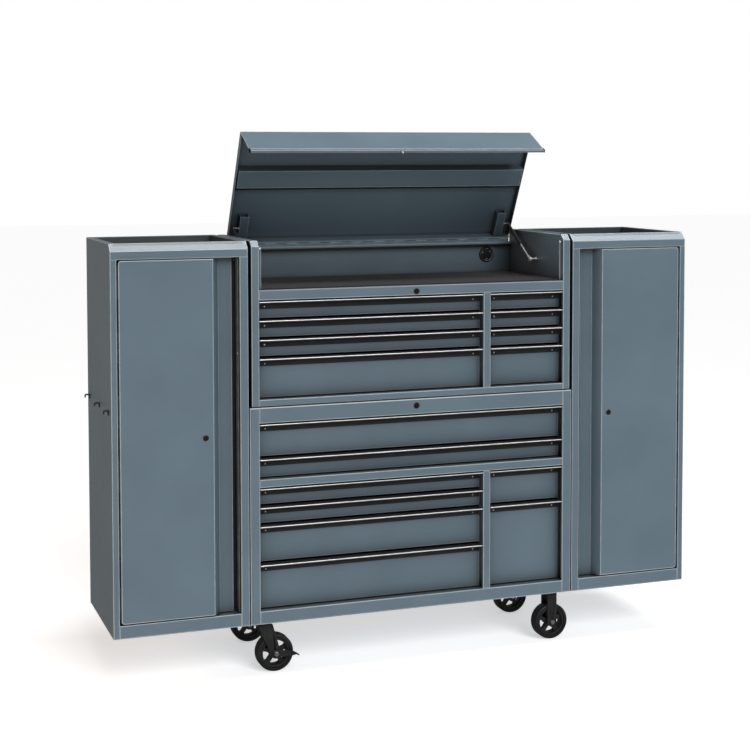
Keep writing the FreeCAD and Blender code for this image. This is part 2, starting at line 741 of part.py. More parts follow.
def lid_pull():
    """The grip along the flange's lower edge: two rounded ridges with a groove between, and a rounded foot."""
    top = LID_TOP - LID_FRONT_FLANGE
    low = top - PULL_HEIGHT
    x = (-LID_HALF, LID_HALF)
    core = block(x, (0, 10), (low, top))
    core = rounded(core, 6.0, lambda p, t: abs(t.x) > 0.9 and p.z < low + 1 and p.y > 5)
    ridges = [pin(3.6, (x[0], 0.6, z), (x[1], 0.6, z)) for z in (top - 4.2, low + 5.2)]
    return join(core, *ridges)


def lid_stiffener():
    """A hat channel across the inside of the lid."""
    top = LID_TOP - THIN_SHEET
    low = top - STIFFENER_DEPTH
    y0, y1 = STIFFENER
    slope = 12.0
    outline = [(y0, top), (y0 + slope, low), (y1 - slope, low), (y1, top)]
    hollow = [
        (y0 + 2.2, top + 1),
        (y0 + slope + 1.2, low + THIN_SHEET),
        (y1 - slope - 1.2, low + THIN_SHEET),
        (y1 - 2.2, top + 1),
    ]
    x = (-LID_HALF + 8, LID_HALF - 8)
    return side_profile(outline, x).cut(side_profile(hollow, (x[0] - 1, x[1] + 1)))


def lid_strut_brackets():
    """The short channels near the rear of the lid, each with the stud that a gas strut pushes on."""
    top = LID_TOP - THIN_SHEET
    end = LID_HINGE[0] - 2 * THIN_SHEET
    y = (end - BRACKET_LENGTH, end)
    outer = block(BRACKET, y, (top - BRACKET_DEPTH, top))
    hollow_x = (BRACKET[0] + SHEET, BRACKET[1] - SHEET)
    hollow = block(hollow_x, (y[0] - 1, y[1] + 1), (top - BRACKET_DEPTH + SHEET, top + 1))
    head_y, head_z = STRUT_HEAD_CLOSED
    stud = pin(STRUT_STUD, (BRACKET[1], head_y, head_z), (STRUT_X - STRUT_EYE_HALF - CLEAR, head_y, head_z))
    collar = pin(7, (BRACKET[1], head_y, head_z), (BRACKET[1] + 3, head_y, head_z))
    return both_sides(join(outer.cut(hollow), stud, collar))


def lid_hinge():
    """The piano hinge along the rear of the lid.  The moving leaf is drawn as it lies with the lid closed."""
    y, z = LID_HINGE
    start, end = -LID_HINGE_HALF, LID_HINGE_HALF
    fixed_runs, moving_runs = hinge_stretches(start, end, LID_HINGE_PITCH)
    half = THIN_SHEET / 2
    reach = LID_KNUCKLE + CLEAR

    def knuckles(runs, radius, spare=0.0):
        return [pin(radius, (a - spare, y, z), (b + spare, y, z)) for a, b in runs]

    upright_leaf = block((start, end), (y - half, y + half), (CHEST_LEDGE, z - 1.5))
    foot = block((start, end), (y + half, DEPTH - SHEET - 1), (CHEST_LEDGE, CHEST_LEDGE + THIN_SHEET))
    fixed = join(upright_leaf, foot).cut(knuckles(moving_runs, reach, CLEAR))
    moving = block((start, end), (y - half, y + half), (z + 1.5, LID_TOP - 8))
    moving = moving.cut(knuckles(fixed_runs, reach, CLEAR))
    bore = pin(2, (start - 1, y, z), (end + 1, y, z))
    loose_bore = pin(2 + RUNNING, (start - 1, y, z), (end + 1, y, z))
    fixed = join(fixed, *knuckles(fixed_runs, LID_KNUCKLE)).cut(bore)
    moving = join(moving, *knuckles(moving_runs, LID_KNUCKLE)).cut(loose_bore)
    hinge_pin = pin(2, (start, y, z), (end, y, z))
    return [fixed, hinge_pin], moving


# ---- gas struts ---------------------------------------------------------------------------------------------

def strut_head_open():
    """Where the strut's upper end stands while the lid is open."""
    y, z = STRUT_HEAD_CLOSED[0] - LID_HINGE[0], STRUT_HEAD_CLOSED[1] - LID_HINGE[1]
    turn = math.radians(-LID_OPEN)
    return (
        LID_HINGE[0] + y * math.cos(turn) - z * math.sin(turn),
        LID_HINGE[1] + y * math.sin(turn) + z * math.cos(turn),
    )


def strut_point(distance):
    """The point on the strut's line at a distance from its foot."""
    foot, head = Vector(STRUT_X, *STRUT_FOOT), Vector(STRUT_X, *strut_head_open())
    run = head - foot
    return tuple(foot + run * (distance / run.Length))


def strut_length():
    return math.dist(STRUT_FOOT, strut_head_open())


def across_strut(radius, y, z, half=STRUT_EYE_HALF):
    """A round boss or bore across the end of a strut."""
    return pin(radius, (STRUT_X - half, y, z), (STRUT_X + half, y, z))


def strut_cylinder():
    """The tube, at the lid's end of the strut: its socket stands beside the lid's stud."""
    reach = strut_length()
    mouth = reach - STRUT_TUBE_LENGTH
    bore = STRUT_TUBE - STRUT_TUBE_WALL
    tube = pin(STRUT_TUBE, strut_point(mouth), strut_point(reach - 12))
    centre = Vector(*strut_point(mouth))
    tube = rounded(tube, STRUT_TUBE_WALL, lambda p, t: (p - centre).Length < STRUT_TUBE + 0.1)
    neck = pin(STRUT_NECK, strut_point(reach - 14), strut_point(reach))
    body = join(tube, neck, across_strut(STRUT_SOCKET, *strut_head_open()))
    chamber = pin(bore, strut_point(mouth + 5), strut_point(reach - 18))
    gland = pin(STRUT_ROD + RUNNING, strut_point(mouth - 1), strut_point(mouth + 6))
    return body.cut([chamber, gland])


def strut_rod():
    """The rod, at the chest's end: an eye on the lower stud, and the piston inside the tube."""
    bore = STRUT_TUBE - STRUT_TUBE_WALL - RUNNING
    rod = pin(STRUT_ROD, strut_point(0), strut_point(STRUT_ROD_LENGTH))
    piston = pin(bore, strut_point(STRUT_ROD_LENGTH - STRUT_PISTON_LENGTH), strut_point(STRUT_ROD_LENGTH))
    neck = pin(STRUT_NECK, strut_point(STRUT_STUD), strut_point(20))
    body = join(rod, piston, neck, across_strut(STRUT_EYE, *STRUT_FOOT))
    return body.cut(across_strut(STRUT_STUD + RUNNING, *STRUT_FOOT, half=STRUT_EYE_HALF + 1))


def strut_lower_stud():
    y, z = STRUT_FOOT
    near, far = STRUT_X - STRUT_EYE_HALF, STRUT_X + STRUT_EYE_HALF
    shank = pin(STRUT_STUD, (near - 2, y, z), (OPENING_HALF, y, z))
    collar = pin(10, (OPENING_HALF - 3, y, z), (OPENING_HALF, y, z))
    shoulder = pin(6.5, (far + CLEAR, y, z), (OPENING_HALF - 3, y, z))
    clip = pin(5.5, (near - 2, y, z), (near - CLEAR, y, z))
    return join(shank, collar, shoulder, clip)


# ---- casters ------------------------------------------------------------------------------------------------

AXLE_HEIGHT = WHEEL_RADIUS - GROUND_CLEARANCE


def caster_plate(x, y):
    half_x, half_y = PLATE[0] / 2, PLATE[1] / 2
    plate = block((x - half_x, x + half_x), (y - half_y, y + half_y), (-PLATE[2], 0))
    plate = rounded(plate, 8, lambda p, t: abs(t.z) > 0.9)
    return plate.cut([pin(4.2, (i, j, -PLATE[2] - 1), (i, j, 1)) for i, j in plate_bolt_places(x, y)])


def swivel_mount(x, y):
    """The plate of a swivel caster with its race and kingpin."""
    race_low = -PLATE[2] - RACE_DEPTH
    race = pin(RACE_RADIUS, (x, y, race_low), (x, y, -PLATE[2]))
    race = rounded(race, 4, lambda p, t: p.z < race_low + 0.1)
    king = pin(KINGPIN, (x, y, race_low - 18), (x, y, race_low))
    nut = pin(12, (x, y, race_low - 18), (x, y, race_low - 5 - 2 * CLEAR))
    return join(caster_plate(x, y), race, king, nut)


def caster_plates():
    return [swivel_mount(x, y) if x < 0 else caster_plate(x, y) for x, y in caster_places()]


def caster_bolts():
    bolts = []
    for place in caster_places():
        for x, y in plate_bolt_places(*place):
            head = pin(7, (x, y, -PLATE[2] - 5), (x, y, -PLATE[2]))
            shank = pin(4, (x, y, -PLATE[2]), (x, y, SHEET))
            nut = pin(7, (x, y, SHEET), (x, y, SHEET + 6))
            bolts.append(join(head, shank, nut))
    return bolts


def fork_leg(axle_x, top, top_x, y):
    """One side of a fork: straight edges from the crown, tangent to a round foot about the axle."""
    foot = FORK_WIDTH / 2
    wide = prism(
        [
            (top_x[0], y[0], top),
            (top_x[1], y[0], top),
            (axle_x + foot, y[0], AXLE_HEIGHT),
            (axle_x - foot, y[0], AXLE_HEIGHT),
        ],
        (0, y[1] - y[0], 0),
    )
    return join(wide, pin(foot, (axle_x, y[0], AXLE_HEIGHT), (axle_x, y[1], AXLE_HEIGHT)))


def fork(axle_x, mid_y, top, top_x, crown):
    """Two legs joined by a crown plate, bored for the axle."""
    outer = FORK_GAP + FORK_WALL
    legs = [
        fork_leg(axle_x, top, top_x, (mid_y - outer, mid_y - FORK_GAP)),
        fork_leg(axle_x, top, top_x, (mid_y + FORK_GAP, mid_y + outer)),
    ]
    bridge = block(top_x, (mid_y - outer, mid_y + outer), (top - crown, top))
    bore = pin(AXLE_RADIUS, (axle_x, mid_y - outer - 1, AXLE_HEIGHT), (axle_x, mid_y + outer + 1, AXLE_HEIGHT))
    return join(bridge, *legs).cut(bore)


def rigid_fork(y):
    half = FORK_WIDTH / 2
    return fork(CASTER_X, y, -PLATE[2], (CASTER_X - half, CASTER_X + half), 5.0)


def swivel_fork(y):
    top = -PLATE[2] - RACE_DEPTH - CLEAR
    body = fork(CASTER_TRAIL - CASTER_X, y, top, (-CASTER_X - 30, -CASTER_X + 34), 5.0)
    return body.cut(pin(KINGPIN + RUNNING, (-CASTER_X, y, top - 6), (-CASTER_X, y, top + 1)))


def axle_bolt(x, y, front_reach, rear_reach):
    shank = pin(AXLE_RADIUS, (x, y - front_reach, AXLE_HEIGHT), (x, y + rear_reach, AXLE_HEIGHT))

    def hexagon(start, depth):
        corners = [
            (x + 10 * math.cos(math.radians(a)), start, AXLE_HEIGHT + 10 * math.sin(math.radians(a)))
            for a in range(0, 360, 60)
        ]
        return prism(corners, (0, depth, 0))

    return join(shank, hexagon(y - front_reach - 7, 7), hexagon(y + rear_reach, 7))


def wheel_hub(x, y):
    """Five spokes between a rim and a bored boss."""
    half = WHEEL_WIDTH / 2 - 3

    def ring(outer, inner, half_width):
        solid = pin(outer, (x, y - half_width, AXLE_HEIGHT), (x, y + half_width, AXLE_HEIGHT))
        return solid.cut(pin(inner, (x, y - 60, AXLE_HEIGHT), (x, y + 60, AXLE_HEIGHT)))

    spokes = []
    for i in range(5):
        spoke = block((x + 14, x + 54), (y - 9, y + 9), (AXLE_HEIGHT - 9, AXLE_HEIGHT + 9))
        spoke.rotate(Vector(x, y, AXLE_HEIGHT), Vector(0, 1, 0), 72 * i + 18)
        spokes.append(spoke)
    bore = AXLE_RADIUS + RUNNING
    return join(ring(60, 51, half), ring(17, bore, FORK_GAP - CLEAR), *spokes).cut(
        pin(bore, (x, y - 60, AXLE_HEIGHT), (x, y + 60, AXLE_HEIGHT))
    )


def tyre(x, y):
    half = WHEEL_WIDTH / 2
    solid = pin(WHEEL_RADIUS, (x, y - half, AXLE_HEIGHT), (x, y + half, AXLE_HEIGHT))
    solid = rounded(solid, 7, lambda p, t: (p - Vector(x, p.y, AXLE_HEIGHT)).Length > 70)
    return solid.cut(pin(60, (x, y - half - 1, AXLE_HEIGHT), (x, y + half + 1, AXLE_HEIGHT)))


def brake_pedal(y, facing):
    """A lever on the axle, outside the fork on the side it faces, with a foot tab along its tip."""
    x = CASTER_TRAIL - CASTER_X
    near = FORK_GAP + FORK_WALL + CLEAR
    sides = sorted((y + facing * near, y + facing * (near + 4)))
    boss = pin(15, (x, sides[0], AXLE_HEIGHT), (x, sides[1], AXLE_HEIGHT))
    arm = prism(
        [
            (x, sides[0], AXLE_HEIGHT + 15),
            (x + 70, sides[0], AXLE_HEIGHT + 6),
            (x + 94, sides[0], AXLE_HEIGHT - 10),
            (x + 70, sides[0], AXLE_HEIGHT - 14),
            (x, sides[0], AXLE_HEIGHT - 15),
        ],
        (0, 4, 0),
    )
    tab_y = sorted((y + facing * near, y + facing * (near + 18)))
    tab = prism(
        [
            (x + 62, tab_y[0], AXLE_HEIGHT + 7),
            (x + 70, tab_y[0], AXLE_HEIGHT + 6),
            (x + 94, tab_y[0], AXLE_HEIGHT - 10),
            (x + 91, tab_y[0], AXLE_HEIGHT - 13),
            (x + 69, tab_y[0], AXLE_HEIGHT + 2),
        ],
        (0, tab_y[1] - tab_y[0], 0),
    )
    bore = pin(AXLE_RADIUS + RUNNING, (x, sides[0] - 1, AXLE_HEIGHT), (x, sides[1] + 1, AXLE_HEIGHT))
    return join(boss, arm, tab).cut(bore)


# ---- small parts --------------------------------------------------------------------------------------------

def side_hook(y):
    """A small steel hook that arches out from the left wall and turns down at its tip."""
    wall = -LOCKER_OUTER
    z = HOOK_HEIGHT
    outline = [
        (wall, y - 6, z - 12),
        (wall, y - 6, z + 5),
        (wall - 4, y - 6, z + 8),
        (wall - 18, y - 6, z + 8),
        (wall - 22, y - 6, z + 4),
        (wall - 22, y - 6, z - 7),
        (wall - 18, y - 6, z - 7),
        (wall - 17, y - 6, z + 3),
        (wall - 5, y - 6, z + 3),
        (wall - 3, y - 6, z - 12),
    ]
    return prism(outline, (0, 12, 0))


def joining_bolts():
    """The bolts and spacers that hold each locker to the roll cab."""
    solids = []
    for y, z in JOINING_POINTS:
        inside, outside = CAB_HALF - SHEET, LOCKER_INNER + SHEET
        head = pin(8, (inside - 5, y, z), (inside, y, z))
        shank = pin(4.1, (inside, y, z), (outside, y, z))
        spacer = pin(14, (CAB_HALF, y, z), (LOCKER_INNER, y, z))
        nut = pin(8, (outside, y, z), (outside + 6, y, z))
        solids += both_sides(join(head, shank, spacer, nut))
    return solids


# ---- output -------------------------------------------------------------------------------------------------

def save_drawers():
    slides = {"roll_cab": [], "top_chest": []}
    for name, column, opening, pitches in DRAWER_STACKS:
        for number, front in enumerate(drawer_fronts(opening, pitches), 1):
            save(f"{name}_{number}", *drawer(column, front))
            slides[name.split("_")[0] + "_" + name.split("_")[1]] += outer_slides(column, front)
    for cabinet, members in slides.items():
        save(cabinet + "_slide_rails", *members)


def save_doors():
    fixed, moving = door_hinge()
    door = [door_pan(), door_cover(), moving, lock_housing(*DOOR_LOCK)]
    save("right_door", *door)
    save("left_door", *[mirrored(solid) for solid in door])
    save("door_hinge_fixed_leaves", *fixed, *[mirrored(solid) for solid in fixed])
    save("right_door_lock_plug", lock_plug(*DOOR_LOCK))
    save("left_door_lock_plug", mirrored(lock_plug(*DOOR_LOCK)))


def save_lid():
    fixed, moving = lid_hinge()
    save("lid_hinge_fixed_leaf", *fixed)
    save("lid_hinge_moving_leaf", opened(moving))
    save("lid_panel", opened(lid_panel()))
    save("lid_pull", opened(lid_pull()))
    save("lid_stiffener", opened(lid_stiffener()))
    save("lid_strut_brackets", *[opened(solid) for solid in lid_strut_brackets()])
    save("right_strut_cylinder", strut_cylinder())
    save("left_strut_cylinder", mirrored(strut_cylinder()))
    save("right_strut_rod", strut_rod())
    save("left_strut_rod", mirrored(strut_rod()))
    save("strut_lower_studs", *both_sides(strut_lower_stud()))


def save_casters():
    save("caster_plates", *caster_plates())
    save("caster_bolts", *caster_bolts())
    save("rigid_forks", *[rigid_fork(y) for y in CASTER_DEPTHS])
    reach = FORK_GAP + FORK_WALL
    save("rigid_axle_bolts", *[axle_bolt(CASTER_X, y, reach, reach) for y in CASTER_DEPTHS])
    swivel_x = CASTER_TRAIL - CASTER_X
    past_pedal = reach + 4 + 2 * CLEAR
    for end, y, facing in (("front", CASTER_DEPTHS[0], -1), ("rear", CASTER_DEPTHS[1], 1)):
        front_reach, rear_reach = (past_pedal, reach) if facing < 0 else (reach, past_pedal)
        save(f"{end}_swivel_fork", swivel_fork(y))
        save(f"{end}_swivel_axle_bolt", axle_bolt(swivel_x, y, front_reach, rear_reach))
        save(f"{end}_brake_pedal", brake_pedal(y, facing))
        save(f"{end}_left_wheel", wheel_hub(swivel_x, y), tyre(swivel_x, y))
        save(f"{end}_right_wheel", wheel_hub(CASTER_X, y), tyre(CASTER_X, y))


def save_cabinets():
    save("roll_cab_shell", *roll_cab_shell())
    save("top_chest_shell", *top_chest_shell())
    save("right_locker_shell", *locker_shell())
    save("left_locker_shell", *left_locker_shell())
    save("locker_shelves", *locker_shelves())
    save("chest_mat", chest_mat())
    save("cable_grommet", *cable_grommet())
    save("joining_bolts", *joining_bolts())
    save("side_hooks", *[side_hook(y) for y in HOOK_DEPTHS])
    save("lock_housings", *[lock_housing(0, z) for z in LOCK_HEIGHTS])
    save("top_chest_lock_plug", lock_plug(0, LOCK_HEIGHTS[0]))
    save("roll_cab_lock_plug", lock_plug(0, LOCK_HEIGHTS[1]))


os.makedirs("parts", exist_ok=True)
save_cabinets()
save_drawers()
save_doors()
save_lid()
save_casters()
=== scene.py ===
import json
import math

import bmesh
import bpy
from mathutils import Matrix, Vector


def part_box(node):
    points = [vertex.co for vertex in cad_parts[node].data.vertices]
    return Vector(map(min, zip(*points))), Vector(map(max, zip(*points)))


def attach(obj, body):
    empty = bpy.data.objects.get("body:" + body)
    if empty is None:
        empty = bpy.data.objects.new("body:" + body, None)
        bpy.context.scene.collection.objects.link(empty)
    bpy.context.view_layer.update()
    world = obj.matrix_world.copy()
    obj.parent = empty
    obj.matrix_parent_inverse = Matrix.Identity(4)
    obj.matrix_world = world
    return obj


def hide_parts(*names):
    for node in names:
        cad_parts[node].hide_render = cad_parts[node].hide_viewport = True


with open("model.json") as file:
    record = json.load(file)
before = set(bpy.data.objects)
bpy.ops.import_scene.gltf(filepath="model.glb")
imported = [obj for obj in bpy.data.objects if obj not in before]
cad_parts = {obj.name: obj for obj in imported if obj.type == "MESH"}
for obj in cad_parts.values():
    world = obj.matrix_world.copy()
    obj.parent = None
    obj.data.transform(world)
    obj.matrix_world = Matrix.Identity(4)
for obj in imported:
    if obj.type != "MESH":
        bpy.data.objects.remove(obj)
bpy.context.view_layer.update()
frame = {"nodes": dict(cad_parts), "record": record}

# Rolling tool chest: finishes, the detailed pieces that stand for plain CAD nodes, studio and camera.
# Metres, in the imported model's frame: +Z up, the drawers face -Y, the origin on the floor.

BODY_OF = {
    node: body for body, members in frame["record"]["behaviour"]["bodies"].items() for node in members
}
CAB_LOW, CAB_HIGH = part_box("roll_cab_shell")
CHEST_LOW, CHEST_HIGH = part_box("top_chest_shell")
FRONT, BACK = CAB_LOW.y, CAB_HIGH.y
UNDERSIDE = CAB_LOW.z
SIDES = (-1, 1)
SHEET = 0.0015

# The lockers are mirror images.  Each x is a distance from the middle of the chest, and the door stop's
# face is a distance behind the front.
LOCKER_X = 0.984
DOORWAY_EDGE = 0.746
DOOR_LOCK_X = 0.886
DOOR_LOCK_Z = 0.977
DOOR_HINGE_X = 1.2282
STOP_FACE = 0.0565


# ---- shader building blocks ---------------------------------------------------------------------------

class Finish:
    """One Principled material whose colour, roughness and bump come from procedural textures."""

    def __init__(self, name, **sockets):
        self.material = bpy.data.materials.new(name)
        self.material.use_nodes = True
        self.tree = self.material.node_tree
        self.shader = self.tree.nodes["Principled BSDF"]
        for socket, value in sockets.items():
            self.shader.inputs[socket.replace("_", " ")].default_value = value
        self.coords = self.node("ShaderNodeTexCoord").outputs["Object"]

    def node(self, kind, **settings):
        made = self.tree.nodes.new(kind)
        for key, value in settings.items():
            setattr(made, key, value)
        return made

    def link(self, source, target):
        self.tree.links.new(source, target)

    def noise(self, scale, detail=4.0, roughness=0.55, stretch=(1, 1, 1)):
        """Noise with features of about 1/scale metres, drawn out along an axis by a small stretch value."""
        mapping = self.node("ShaderNodeMapping")
        mapping.inputs["Scale"].default_value = stretch
        self.link(self.coords, mapping.inputs["Vector"])
        texture = self.node("ShaderNodeTexNoise")
        texture.inputs["Scale"].default_value = scale
        texture.inputs["Detail"].default_value = detail
        texture.inputs["Roughness"].default_value = roughness
        self.link(mapping.outputs["Vector"], texture.inputs["Vector"])
        return texture.outputs["Fac"]

    def spread(self, value, source, target):
        """Maps a value from one range to another, held at the ends."""
        mapped = self.node("ShaderNodeMapRange")
        for name, number in zip(("From Min", "From Max", "To Min", "To Max"), (*source, *target)):
            mapped.inputs[name].default_value = number
        self.link(value, mapped.inputs["Value"])
        return mapped.outputs["Result"]

    def mix(self, factor, first, second):
        """Blends two colours, or the outputs of two earlier blends."""
        mixed = self.node("ShaderNodeMix", data_type="RGBA")
        self.link(factor, mixed.inputs["Factor"])
        for slot, colour in (("A", first), ("B", second)):
            target = [i for i in mixed.inputs if i.name == slot and i.type == "RGBA"][0]
            if isinstance(colour, tuple):
                target.default_value = (*colour, 1.0)
            else:
                self.link(colour, target)
        return [o for o in mixed.outputs if o.type == "RGBA"][0]

    def maths(self, operation, first, second):
        """One arithmetic step on two outputs, or on an output and a number."""
        made = self.node("ShaderNodeMath", operation=operation)
        for target, value in zip(made.inputs, (first, second)):
            if isinstance(value, float):
                target.default_value = value
            else:
                self.link(value, target)
        return made.outputs[0]

    def outside_edges(self, radius):
        """One along outside edges, fading over the radius; zero on flats and in inside corners."""
        rounded = self.node("ShaderNodeBevel", samples=4)
        rounded.inputs["Radius"].default_value = radius
        flat = self.node("ShaderNodeNewGeometry")
        dot = self.node("ShaderNodeVectorMath", operation="DOT_PRODUCT")
        self.link(rounded.outputs["Normal"], dot.inputs[0])
        self.link(flat.outputs["Normal"], dot.inputs[1])
        turned = self.spread(dot.outputs["Value"], (0.998, 0.92), (0, 1))
        outside = self.spread(self.openness(distance=0.006), (0.7, 0.9), (0, 1))
        return self.maths("MULTIPLY", turned, outside)

    def bends(self):
        """One on the rounded folds between faces, zero on the faces and on 45 degree bevels."""
        parts = self.node("ShaderNodeSeparateXYZ")
        self.link(self.node("ShaderNodeTexCoord").outputs["Normal"], parts.inputs[0])
        x, y, z = (self.maths("ABSOLUTE", parts.outputs[i], 0.0) for i in range(3))
        main = self.maths("MAXIMUM", self.maths("MAXIMUM", x, y), z)
        off_the_face = self.spread(main, (0.985, 0.97), (0, 1))
        off_the_bevel = self.spread(main, (0.84, 0.87), (0, 1))
        return self.maths("MULTIPLY", off_the_face, off_the_bevel)

    def within(self, low, high):
        """One inside a box given by two corners in the frame, zero outside."""
        parts = self.node("ShaderNodeSeparateXYZ")
        self.link(self.coords, parts.inputs[0])
        inside = 1.0
        for axis, least, most in zip(parts.outputs, low, high):
            above = self.maths("GREATER_THAN", axis, float(least))
            below = self.maths("LESS_THAN", axis, float(most))
            inside = self.maths("MULTIPLY", self.maths("MULTIPLY", above, below), inside)
        return inside

    def openness(self, distance):
        """One in the open, falling towards zero in seams and tight corners."""
        occlusion = self.node("ShaderNodeAmbientOcclusion", samples=6)
        occlusion.inputs["Distance"].default_value = distance
        return occlusion.outputs["AO"]

    def colour(self, output):
        self.link(output, self.shader.inputs["Base Color"])

    def roughness(self, output):
        self.link(output, self.shader.inputs["Roughness"])

    def bump(self, height, distance, strength):
        bump = self.node("ShaderNodeBump")
        bump.inputs["Strength"].default_value = strength
        bump.inputs["Distance"].default_value = distance
        self.link(height, bump.inputs["Height"])
        self.link(bump.outputs["Normal"], self.shader.inputs["Normal"])


def shade(colour, factor):
    return tuple(min(1.0, channel * factor) for channel in colour)


# ---- kinds of finish ----------------------------------------------------------------------------------

PAINT = (0.092, 0.137, 0.171)
EDGE_HIGHLIGHT_AND_WEAR = (0.50, 0.54, 0.56)
NEAR_BLACK = (0.006, 0.007, 0.008)
TRAY_SHADE = (0.022, 0.030, 0.036)
EDGE_WIDTH = 0.0045
SEAM_REACH = 0.018


def powder_coat(name, colour, roughness=0.42, pale_edge_amount=0.85, square=True, recess=0.2, recoloured=()):
    """Baked powder paint: orange peel, faint clouds and scuffs, outside edges lightened by a painted
    highlight and rubbed paint, and painted shade in the seams.

    On square sheet metal the rounded folds get the painted highlight as well.  Recesses darken with painted
    shade over the given depth, and the recoloured boxes, each two corners and a colour, carry that colour
    instead.
    """
    paint = Finish(name, Specular_IOR_Level=0.5, Coat_Weight=0.5, Coat_Roughness=0.22)
    clouds = paint.noise(scale=3.2, detail=3.0)
    speckle = paint.noise(scale=2400.0, detail=1.0)
    rubs = paint.noise(scale=34.0, detail=5.0, roughness=0.7, stretch=(0.18, 1.0, 1.0))
    peel = paint.noise(scale=620.0, detail=2.0, roughness=0.5)

    base = paint.mix(paint.spread(clouds, (0.3, 0.7), (0, 1)), shade(colour, 0.93), shade(colour, 1.07))
    base = paint.mix(paint.spread(speckle, (0.62, 0.8), (0, 0.35)), base, shade(colour, 1.35))
    base = paint.mix(paint.spread(rubs, (0.63, 0.74), (0, 0.22)), base, shade(colour, 1.28))

    # Outside edges and rounded folds turn pale: a painted highlight where they would catch the light, mixed
    # with rubbed paint.
    edges = paint.outside_edges(EDGE_WIDTH)
    if square:
        edges = paint.maths("MAXIMUM", edges, paint.bends())
    patchy = paint.spread(rubs, (0.35, 0.6), (0.75 * pale_edge_amount, pale_edge_amount))
    base = paint.mix(paint.maths("MULTIPLY", edges, patchy), base, EDGE_HIGHLIGHT_AND_WEAR)
    # Painted shade: recesses darken towards near black over the given depth.
    base = paint.mix(paint.spread(paint.openness(recess), (0.2, 0.95), (0.8, 0)), base, NEAR_BLACK)
    for low, high, box_colour in recoloured:
        base = paint.mix(paint.within(low, high), base, box_colour)
    # Painted shade: seams and tight corners darken towards near black.
    seams = paint.spread(paint.openness(SEAM_REACH), (0.3, 0.85), (0.92, 0))
    paint.colour(paint.mix(seams, base, NEAR_BLACK))

    satin = paint.spread(clouds, (0.25, 0.75), (roughness - 0.05, roughness + 0.05))
    paint.roughness(paint.maths("ADD", satin, paint.spread(rubs, (0.55, 0.75), (0, 0.12))))
    paint.bump(peel, distance=0.00025, strength=0.35)
    return paint.material


def bare_metal(name, colour, roughness=0.32, stretch=(0.02, 1, 1), metallic=1.0):
    """Zinc or satin steel: drawn-out brush marks, a mottled plate and darker handling marks."""
    steel = Finish(name, Metallic=metallic)
    brushed = steel.noise(scale=900.0, detail=3.0, roughness=0.6, stretch=stretch)
    mottle = steel.noise(scale=60.0, detail=5.0)
    base = steel.mix(steel.spread(mottle, (0.3, 0.7), (0, 1)), shade(colour, 0.86), shade(colour, 1.08))
    steel.colour(steel.mix(steel.spread(brushed, (0.4, 0.7), (0, 0.3)), base, shade(colour, 0.7)))
    along = steel.spread(brushed, (0.3, 0.7), (roughness - 0.08, roughness + 0.1))
    steel.roughness(steel.maths("ADD", along, steel.spread(mottle, (0.4, 0.8), (0, 0.1))))
    steel.bump(brushed, distance=0.0001, strength=0.3)
    return steel.material


def enamel(name, colour, roughness=0.3, grain=500.0, depth=0.0002, shine=0.5):
    """Black enamel or moulded plastic: fine grain, dust in patches and a few rubbed places."""
    coat = Finish(name, Specular_IOR_Level=shine)
    dust = coat.noise(scale=22.0, detail=6.0, roughness=0.65)
    grains = coat.noise(scale=grain, detail=3.0)
    base = coat.mix(coat.spread(dust, (0.45, 0.8), (0, 0.6)), colour, shade(colour, 2.2))
    coat.colour(coat.mix(coat.spread(grains, (0.35, 0.7), (0, 0.25)), base, shade(colour, 0.5)))
    dusty = coat.spread(dust, (0.3, 0.8), (roughness, roughness + 0.22))
    coat.roughness(coat.maths("ADD", dusty, coat.spread(grains, (0.3, 0.7), (-0.03, 0.05))))
    coat.bump(grains, distance=depth, strength=0.4)
    return coat.material


def rubber(name, colour, roughness=0.6):
    """Solid rubber: matt, dusty in patches, with a fine pebbled skin."""
    skin = Finish(name, Specular_IOR_Level=0.35)
    dust = skin.noise(scale=30.0, detail=6.0, roughness=0.7)
    pebbles = skin.noise(scale=1300.0, detail=2.0)
    base = skin.mix(skin.spread(dust, (0.45, 0.75), (0, 1)), colour, shade(colour, 1.9))
    skin.colour(skin.mix(skin.spread(pebbles, (0.4, 0.7), (0, 0.3)), base, shade(colour, 0.6)))
    skin.roughness(skin.spread(dust, (0.3, 0.8), (roughness - 0.08, roughness + 0.15)))
    skin.bump(pebbles, distance=0.0003, strength=0.4)
    return skin.material


# ---- the chest's finishes -----------------------------------------------------------------------------

def recoloured_box(x, half_width, y, z, colour):
    """A box about x, over the ranges y and z, where the paint gives way to another colour."""
    return (x - half_width, y[0], z[0]), (x + half_width, y[1], z[1]), colour


def recoloured_pair(x, half_width, y, z, colour):
    """The same box on both sides of the chest."""
    return [recoloured_box(side * x, half_width, y, z, colour) for side in SIDES]


# Painted shade in the lockers' trays, the painted shadow line under the rear ledge, a painted highlight along
# the roll cab's top rim, the black insides of the door locks' recesses, and painted shade over the doors'
# hinge knuckles.
locker_tray_shade = recoloured_pair(LOCKER_X, 0.257, (FRONT + 0.020, BACK - 0.004), (1.690, 1.7440), TRAY_SHADE)
ledge_lip = recoloured_box(0.0, 0.667, (BACK - 0.033, BACK - 0.028), (1.6765, 1.6812), NEAR_BLACK)
cab_rim_highlight = recoloured_box(0.0, 0.708, (FRONT - 0.001, FRONT + 0.0004), (1.0800, 1.0842), shade(EDGE_HIGHLIGHT_AND_WEAR, 0.9))
lock_z = (DOOR_LOCK_Z - 0.013, DOOR_LOCK_Z + 0.013)
lock_recesses = recoloured_pair(DOOR_LOCK_X, 0.013, (FRONT - 0.004, FRONT - 0.0003), lock_z, NEAR_BLACK)
hinge_gap_shade = recoloured_pair(DOOR_HINGE_X, 0.0032, (FRONT - 0.003, FRONT + 0.04), (0.26, 1.70), NEAR_BLACK)

